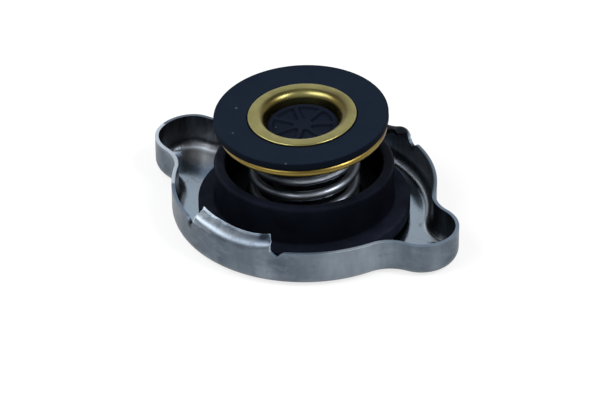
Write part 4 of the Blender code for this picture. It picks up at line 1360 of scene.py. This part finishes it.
# %% How much of its length each spring keeps at full travel
TRAVEL = {joint["name"]: joint["range_m"][1] for joint in frame["joints"] if "range_m" in joint}
spring_foot = Vector((0.0, 0.0, (SEAT_TOP + GAP) * MM))
main_length = (STOP_HEIGHT + PLATE_UNDER - SEAT_TOP - 2 * GAP) * MM
keep = 1 - TRAVEL["pressure_valve_slide"] / main_length
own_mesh(main_spring)
print("main spring keeps", round(keep, 3), "of its length")

VACUUM_SPRING_ROOM = 3.2
keep = 1 - TRAVEL["vacuum_valve_slide"] / (VACUUM_SPRING_ROOM * MM)
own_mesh(vacuum_spring)
print("vacuum spring keeps", round(keep, 3), "of its length")

# %% [markdown]
# ## A white studio
# The cap was photographed on white. The floor is a pale plane that takes the cap's shadow. To the
# camera and in reflections it also glows a little, up to white, and so does the world, so that
# metal shows the same white that stands behind it. That glow lights nothing: two soft lamps and a
# dim world do, which keeps the colours at the level they are written in. Over the white backdrop
# the studio has a dark ceiling, and a dim room on the viewer's side, which give the springs and the
# brass throat their dark parts. The floor lies a hair below the crown, so that the two don't touch.

# %% The floor
FLOOR_SIZE = 3.0
FLOOR_DROP = 0.02
FLOOR_GREY = (0.9, 0.9, 0.9, 1)
FLOOR_GLOW = 0.74
GLOSS_LOSS = 0.3
WHITE = (1, 1, 1, 1)


def ray(bench, kind):
    return bench.node("ShaderNodeLightPath", output=f"Is {kind} Ray")


def seen_directly(bench):
    """1 for rays that show the background: from the camera, off a gloss or through glass."""
    rays = ray(bench, "Camera") + ray(bench, "Glossy") + ray(bench, "Transmission")
    return rays.math("MINIMUM", 1.0)


def white_floor():
    finish = bpy.data.materials.new("white_floor")
    finish.use_nodes = True
    finish.node_tree.nodes.clear()
    bench = Wire(finish.node_tree)
    pale = bench.node("ShaderNodeBsdfDiffuse", None, {"Color": FLOOR_GREY})
    glow = bench.node("ShaderNodeEmission", None, {"Color": WHITE, "Strength": 1.0})
    share = seen_directly(bench) * FLOOR_GLOW - ray(bench, "Glossy") * GLOSS_LOSS
    both = bench.node("ShaderNodeMixShader", None, {0: share, 1: pale, 2: glow})
    bench.node("ShaderNodeOutputMaterial", None, {"Surface": both})
    return finish


bpy.ops.mesh.primitive_plane_add(size=FLOOR_SIZE, location=(0.0, 0.0, -FLOOR_DROP * MM))
floor = bpy.context.active_object
floor.name = "studio_floor"
floor.data.materials.append(white_floor())

# %% The world
WORLD_LIGHT = 0.45
CEILING_START = 0.62
CEILING_FULL = 0.85
CEILING_DARKNESS = 1.65
ROOM_START = -0.15
ROOM_DEPTH = 0.45
ROOM_DARKNESS = 1.1
CAMERA_AZIMUTH = math.radians(35.0)

world = bpy.data.worlds.new("studio")
world.use_nodes = True
world.node_tree.nodes.clear()
bpy.context.scene.world = world
bench = Wire(world.node_tree)
east, north, height = split(bench.node("ShaderNodeTexCoord"))
nearer = east * math.sin(CAMERA_AZIMUTH) - north * math.cos(CAMERA_AZIMUTH)
ceiling = rising(height, CEILING_START, CEILING_FULL - CEILING_START) * CEILING_DARKNESS
room = rising(nearer, ROOM_START, ROOM_DEPTH) * ROOM_DARKNESS
dark = ceiling.math("MAXIMUM", room) * (1.0 - ray(bench, "Camera"))
strength = WORLD_LIGHT + seen_directly(bench) * (1.0 - WORLD_LIGHT) * (1.0 - dark)
sky = bench.node("ShaderNodeBackground", None, {"Color": WHITE, "Strength": strength})
bench.node("ShaderNodeOutputWorld", None, {"Surface": sky})


# %% The lamps
def toward(azimuth, elevation):
    """The direction to a lamp or the camera: angles in radians, round from the front and up."""
    level = math.cos(elevation)
    return Vector((math.sin(azimuth) * level, -math.cos(azimuth) * level, math.sin(elevation)))


def soft_lamp(name, azimuth, elevation, distance, size, power):
    data = bpy.data.lights.new(name, "AREA")
    data.shape = "RECTANGLE"
    data.size, data.size_y = size
    data.energy = power
    lamp = new_object(name, data)
    way = toward(math.radians(azimuth), math.radians(elevation))
    lamp.location = way * distance
    lamp.rotation_euler = way.to_track_quat("Z", "Y").to_euler()
    return lamp


soft_lamp("left_window", -32, 48, 0.55, (0.5, 0.26), 2.6)
soft_lamp("right_window", 95, 50, 0.55, (0.16, 0.22), 1.9)

# %% [markdown]
# ## The camera
# The photograph is taken with a long lens from about 34 degrees above and 35 degrees round from
# the front, with a hair of roll. The numbers come from fitting the cap's circles to the picture.

# %% Place the camera
FOCAL_PIXELS = 3396.292
IMAGE_WIDTH = 600
IMAGE_HEIGHT = 400
DISTANCE = 0.62004
ELEVATION = 0.587
ROLL = 0.006
ORIGIN_PIXEL = (304.374, 211.99)

back = toward(CAMERA_AZIMUTH, ELEVATION)
level = Vector((math.cos(CAMERA_AZIMUTH), math.sin(CAMERA_AZIMUTH), 0.0))
above = back.cross(level)
right = level * math.cos(ROLL) - above * math.sin(ROLL)
up = level * math.sin(ROLL) + above * math.cos(ROLL)
beside = (ORIGIN_PIXEL[0] - IMAGE_WIDTH / 2) / FOCAL_PIXELS * DISTANCE
below = (ORIGIN_PIXEL[1] - IMAGE_HEIGHT / 2) / FOCAL_PIXELS * DISTANCE
data = bpy.data.cameras.new("photo_camera")
data.sensor_width = 36.0
data.lens = FOCAL_PIXELS * data.sensor_width / IMAGE_WIDTH
data.clip_start, data.clip_end = 0.01, 20.0
camera = new_object("photo_camera", data)
turned = Matrix((right, up, back)).transposed().to_4x4()
camera.matrix_world = Matrix.Translation(back * DISTANCE - right * beside + up * below) @ turned
bpy.context.scene.camera = camera
bpy.context.scene.view_settings.view_transform = "Standard"
print("camera at", [round(v, 4) for v in camera.location], "lens", round(data.lens, 2))
